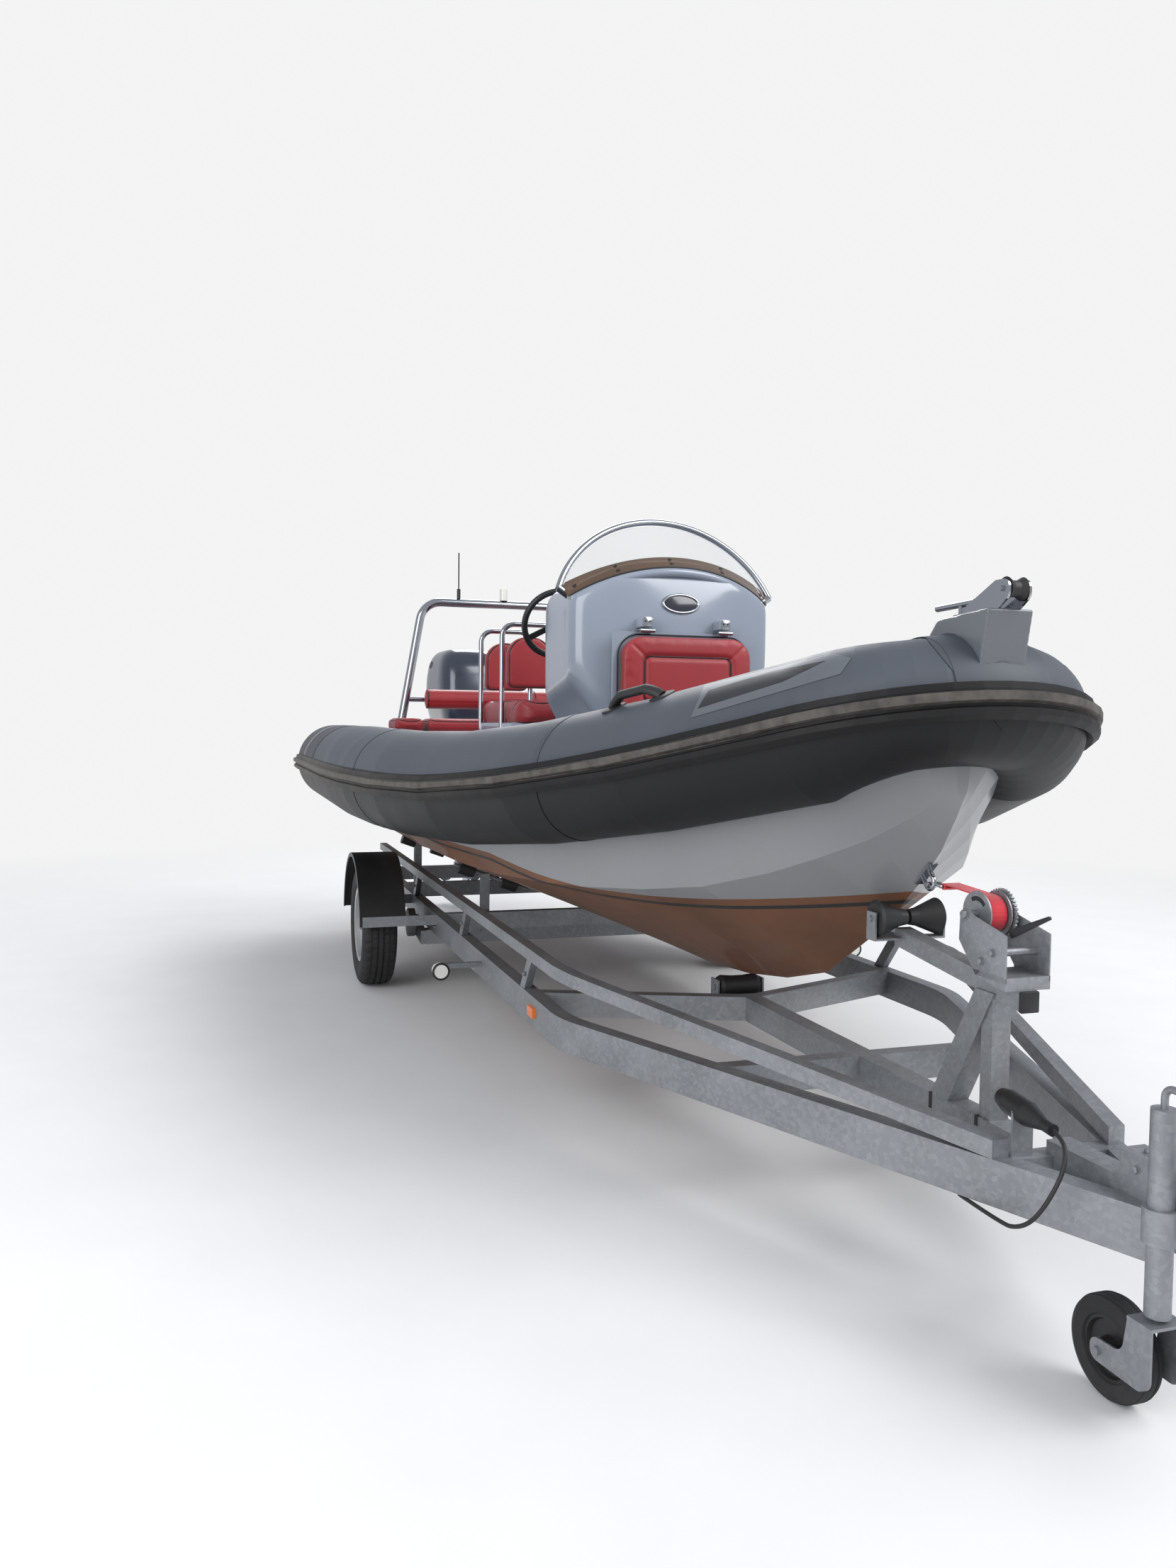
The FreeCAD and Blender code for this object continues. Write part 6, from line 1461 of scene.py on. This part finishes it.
class BOAT_OT_trailer(bpy.types.Operator):
    """Bolts, end caps, lamp rims and winch details on the trailer"""
    bl_idname = "boat.trailer"
    bl_label = "Trailer fittings"

    def execute(self, context):
        steel = FINISHES["galvanised"]
        black = FINISHES["black_plastic"]
        for sign, key in SIDES:
            self.rail(sign, key, steel, black)
        self.winch(steel, black)
        self.coupling(steel, black)
        for index, station in enumerate(TIE_STATIONS):
            loop = closer(upright(station, 0, *TIE_BOX), 0.02)
            swept(f"BeamTie{index}", loop, 0.002, FINISHES["rubber"], ring=8, cyclic=True, flat=3.0, up=X)
        return {"FINISHED"}

    def rail(self, sign, key, steel, black):
        """Bolts and an end cap on a main rail, and the rim of the marker lamp beside it."""
        for index, station in enumerate(CROSS_STATIONS):
            for height in CROSS_HEIGHTS:
                name = f"CrossBolt{key}{index}_{int(height * 1000)}"
                bolt(name, at(station, sign * RAIL_FACE, height), Y * sign, 0.009, steel)
        cap = upright(RAIL_END, sign * RAIL_MIDDLE, *RAIL_CAP)
        prism(f"RailCap{key}", cap, (0.006, 0, 0), black, bevel=0.002)
        for index, station in enumerate(STRUT_STATIONS):
            place = at(station, sign * RAIL_FACE, STRUT_HEIGHT)
            bolt(f"StrutBolt{key}{index}", place, Y * sign, 0.007, steel)
        lamp = sided(at(*MARKER_PLACE), sign)
        turned(f"MarkerRim{key}", MARKER_PROFILE, lamp, X, black, steps=32)

    def winch(self, steel, black):
        """Winch: side plate bolts, slotted flange, pawl and the arm's cap."""
        for sign, key in SIDES:
            for index, (station, height) in enumerate(PLATE_BOLTS):
                place = at(station, sign * PLATE_BOLT_ACROSS, height)
                bolt(f"WinchBolt{key}{index}", place, Y * sign, 0.0085, steel)
            bolt(f"DrumBolt{key}", DRUM + Y * sign * DRUM_SIDE, Y * sign, 0.011, steel)
        start, end = [on_side(pixel, PAWL_ACROSS) for pixel in PAWL_PIXELS]
        rise = (end - start).normalized().cross(-Y)
        outline = [start - rise * 0.010, end - rise * 0.004, end + rise * 0.004, start + rise * 0.010]
        prism("WinchPawl", outline, (0, -0.008, 0), black, bevel=0.002)
        # The flange's slot is a flat black strip laid on it: painted shade in place of an opening.
        slot = [DRUM + spoke(SLOT_RADIUS, math.radians(turn), SLOT_ACROSS) for turn in SLOT_TURNS]
        swept("FlangeSlot", slot, 0.0050, FINISHES["rubber"], flat=0.2, up=Y, ring=10)
        self.plates(steel)
        cap = upright(ARM_END, 0, ARM_HALF, ARM_HEIGHT - ARM_HALF, ARM_HEIGHT + ARM_HALF)
        prism("ArmCap", cap, (0.012, 0, -0.0015), black, bevel=0.004)

    def plates(self, steel):
        """The winch's base and rod, between side plates whose tops are cut low before the drum."""
        form = bmesh.new()
        form.from_mesh(NODES["winch_frame"].data)
        bmesh.ops.remove_doubles(form, verts=form.verts, dist=1e-5)
        parts = form.verts[:] + form.edges[:] + form.faces[:]
        bmesh.ops.bisect_plane(form, geom=parts, dist=1e-6, plane_co=Z * PLATE_SEAT, plane_no=Z,
                               clear_outer=True)
        bmesh.ops.holes_fill(form, edges=[edge for edge in form.edges if edge.is_boundary])
        mesh = bpy.data.meshes.new("WinchBase")
        form.to_mesh(mesh)
        form.free()
        pieces = [new_object("WinchBase", mesh, steel, smooth=35)]
        for sign, key in SIDES:
            plate = [at(station, sign * PLATE_ACROSS, height) for station, height in PLATE_OUTLINE]
            pieces.append(prism("WinchCheek" + key, plate, Y * sign * PLATE_THICK, steel, bevel=0.0012))
        pieces.append(turned("PinionRod", ROD_PROFILE, at(*ROD_PLACE), Y, steel, steps=24))
        for piece in pieces:
            stand_in("winch_frame")

    def coupling(self, steel, black):
        """Bolts through the coupling head and a grip on its lever."""
        for index, station in enumerate(COUPLING_STATIONS):
            bolt(f"CouplingBolt{index}", at(station, 0, 0.4742), Z, 0.010, steel)
            for sign, key in SIDES:
                bolt(f"HeadBolt{index}{key[0]}", at(station, sign * 0.0302, 0.445), Y * sign, 0.008, steel)
        grip = closer([at(*place) for place in GRIP_ENDS], 0.01, False)
        swept("CouplingGrip", grip, 0.012, black, ring=16, flat=0.8, up=Z)


# studio and materials
AMBER_AHEAD = 2.0
MAST_LAMP_HALF, MAST_LAMP_FOOT = 0.03, 2.075
LAMPS = (("KeyLamp", (6.0, 4.5, 6.5), (0.5, 0, 0.9), 520, 5.0),
         ("FillLamp", (5.5, -7.5, 4.0), (0.5, 0, 0.8), 420, 6.0),
         ("BackLamp", (-7.0, 2.0, 6.0), (0, 0, 1.0), 350, 4.0))
FLOOR_HALF = 40
FADE = (3.6, 8.0)


class BOAT_OT_finishes(bpy.types.Operator):
    """Gives every solid of the boat and trailer its paint, metal, rubber or cloth"""
    bl_idname = "boat.finishes"
    bl_label = "Finishes"

    def execute(self, context):
        make_finishes()
        for key, names in NODE_FINISH.items():
            for name in names:
                materials = NODES[name].data.materials
                materials.clear()
                materials.append(FINISHES[key])
        self.second("marker_lamps", "amber", lambda middle: middle.x > at(AMBER_AHEAD).x)
        self.second("arch_fittings", "white_lens",
                    lambda middle: abs(middle.y) < MAST_LAMP_HALF and middle.z > MAST_LAMP_FOOT)
        return {"FINISHED"}

    def second(self, node, finish, chosen):
        """Gives a second finish to the faces of a solid whose middles pass a test."""
        mesh = NODES[node].data
        mesh.materials.append(FINISHES[finish])
        for polygon in mesh.polygons:
            if chosen(polygon.center):
                polygon.material_index = 1


class BOAT_OT_stage(bpy.types.Operator):
    """Pale floor and backdrop, soft lamps and the camera"""
    bl_idname = "boat.stage"
    bl_label = "Studio"

    def execute(self, context):
        scene = context.scene
        scene.view_settings.view_transform = "Standard"
        camera = bpy.data.cameras.new("Camera")
        camera.sensor_fit = "VERTICAL"
        camera.sensor_height = SENSOR
        camera.lens = SENSOR * FOCAL / PHOTO[1]
        camera.clip_end = 200.0
        eye = bpy.data.objects.new("Camera", camera)
        context.collection.objects.link(eye)
        eye.matrix_world = EYE
        scene.camera = eye
        self.floor(context)
        self.world(scene)
        for name, place, aim, power, size in LAMPS:
            lamp = bpy.data.lights.new(name, "AREA")
            lamp.energy = power
            lamp.size = size
            body = bpy.data.objects.new(name, lamp)
            body.location = place
            body.rotation_euler = (Vector(aim) - Vector(place)).to_track_quat("-Z", "Y").to_euler()
            context.collection.objects.link(body)
        return {"FINISHED"}

    def floor(self, context):
        """A pale floor that fades into the plain backdrop with distance from the boat."""
        paint = Paint("PaleFloor")
        paint.mottled((0.80, 0.80, 0.80), 3.0, 0.015)
        paint.set(Roughness=0.9)
        paint.done()
        away = paint.nodes.new("ShaderNodeVectorMath")
        away.operation = "LENGTH"
        paint.links.new(paint.place, away.inputs[0])
        far = paint.spread(away.outputs["Value"], 0.0, 1.0, *FADE)
        glow = paint.nodes.new("ShaderNodeEmission")
        glow.inputs["Color"].default_value = (*context.scene.boat_colours.backdrop, 1)
        mix = paint.nodes.new("ShaderNodeMixShader")
        paint.links.new(far, mix.inputs["Fac"])
        paint.links.new(paint.shader.outputs["BSDF"], mix.inputs[1])
        paint.links.new(glow.outputs["Emission"], mix.inputs[2])
        paint.links.new(mix.outputs["Shader"], paint.nodes["Material Output"].inputs["Surface"])
        corners = [(x * FLOOR_HALF, y * FLOOR_HALF, 0) for x, y in ((-1, -1), (1, -1), (1, 1), (-1, 1))]
        ground = bpy.data.objects.new("Floor", shape_mesh("Floor", corners, [(0, 1, 2, 3)]))
        ground.data.materials.append(paint.material)
        context.collection.objects.link(ground)

    def world(self, scene):
        """A soft sky for the light and for reflections, and a plain pale backdrop for the camera."""
        world = bpy.data.worlds.new("Studio")
        world.use_nodes = True
        scene.world = world
        tree = world.node_tree
        sky = tree.nodes["Background"]
        sky.inputs["Color"].default_value = (0.90, 0.93, 1.0, 1)
        sky.inputs["Strength"].default_value = 0.62
        plain_sky = tree.nodes.new("ShaderNodeBackground")
        plain_sky.inputs["Color"].default_value = (*scene.boat_colours.backdrop, 1)
        path = tree.nodes.new("ShaderNodeLightPath")
        switch = tree.nodes.new("ShaderNodeMixShader")
        tree.links.new(path.outputs["Is Camera Ray"], switch.inputs["Fac"])
        tree.links.new(sky.outputs["Background"], switch.inputs[1])
        tree.links.new(plain_sky.outputs["Background"], switch.inputs[2])
        tree.links.new(switch.outputs["Shader"], tree.nodes["World Output"].inputs["Surface"])


# settings and panel
def colour_setting(name, description, default):
    """A colour that the panel shows."""
    return bpy.props.FloatVectorProperty(name=name, description=description, default=default, subtype="COLOR",
                                         min=0.0, max=1.0)


def length_setting(name, description, default):
    """A length that the panel shows."""
    return bpy.props.FloatProperty(name=name, description=description, default=default, min=0.0, unit="LENGTH")


class BOAT_PG_colours(bpy.types.PropertyGroup):
    """Colours of the boat's main finishes"""
    upholstery: colour_setting("Upholstery", "Vinyl of the cushions, saddles and backrests", linear(150, 42, 48))
    strap: colour_setting("Winch strap", "Webbing of the winch strap", linear(196, 38, 52))
    collar: colour_setting("Collar", "Collar cloth above the strake", linear(76, 81, 89))
    # The topsides' grey is set darker than the hull's light grey, as painted shade.
    hull: colour_setting("Topsides", "Hull gelcoat above the antifouling", linear(126, 128, 131))
    antifoul: colour_setting("Antifouling", "Paint under the waterline", linear(104, 66, 42))
    gelcoat: colour_setting("Console", "Gelcoat of the console, seat bases and transom", linear(138, 147, 161))
    engine: colour_setting("Engine", "Paint of the outboard engine", linear(52, 60, 74))
    backdrop: colour_setting("Backdrop", "Studio background", (0.90, 0.90, 0.90))


class BOAT_PG_sizes(bpy.types.PropertyGroup):
    """Sizes of the sewn, moulded and fitted details"""
    piping: length_setting("Piping", "Diameter of the cushions' piping", 0.006)
    saddle_panel: length_setting("Saddle panel", "Width of the saddles' top panel", 0.150)
    lead: length_setting("Plug lead", "Diameter of the trailer plug's lead", 0.009)
    badge_width: length_setting("Badge", "Width of the blank badge on the console", 0.145)
    tread_depth: length_setting("Tread", "Depth of the road tyres' grooves", 0.007)
    filling: bpy.props.FloatProperty(name="Filling", description="Pressure that swells the cushions", default=4.0,
                                     min=0.0)
    band: length_setting("Tinted band", "Width of the screen's tinted band", 0.070)


class BOAT_PT_panel(bpy.types.Panel):
    """Lists the settings and the dressing steps in the sidebar"""
    bl_label = "Boat and Trailer"
    bl_idname = "BOAT_PT_panel"
    bl_space_type = "VIEW_3D"
    bl_region_type = "UI"
    bl_category = "Boat"

    def draw(self, context):
        for group in (context.scene.boat_colours, context.scene.boat_sizes):
            for key in group.bl_rna.properties.keys():
                if key not in ("rna_type", "name"):
                    self.layout.prop(group, key)
        for operator in OPERATORS:
            self.layout.operator(operator.bl_idname)


OPERATORS = (BOAT_OT_stage, BOAT_OT_finishes, BOAT_OT_lead, BOAT_OT_mouldings, BOAT_OT_upholstery,
             BOAT_OT_collar, BOAT_OT_console, BOAT_OT_engine_trim, BOAT_OT_wheels, BOAT_OT_trailer)
CLASSES = (BOAT_PG_colours, BOAT_PG_sizes, *OPERATORS, BOAT_PT_panel)


def register():
    for cls in CLASSES:
        bpy.utils.register_class(cls)
    bpy.types.Scene.boat_colours = bpy.props.PointerProperty(type=BOAT_PG_colours)
    bpy.types.Scene.boat_sizes = bpy.props.PointerProperty(type=BOAT_PG_sizes)


def unregister():
    del bpy.types.Scene.boat_sizes
    del bpy.types.Scene.boat_colours
    for cls in reversed(CLASSES):
        bpy.utils.unregister_class(cls)


def main():
    register()
    for operator in OPERATORS:
        group, name = operator.bl_idname.split(".")
        getattr(getattr(bpy.ops, group), name)()


if __name__ == "__main__":
    main()
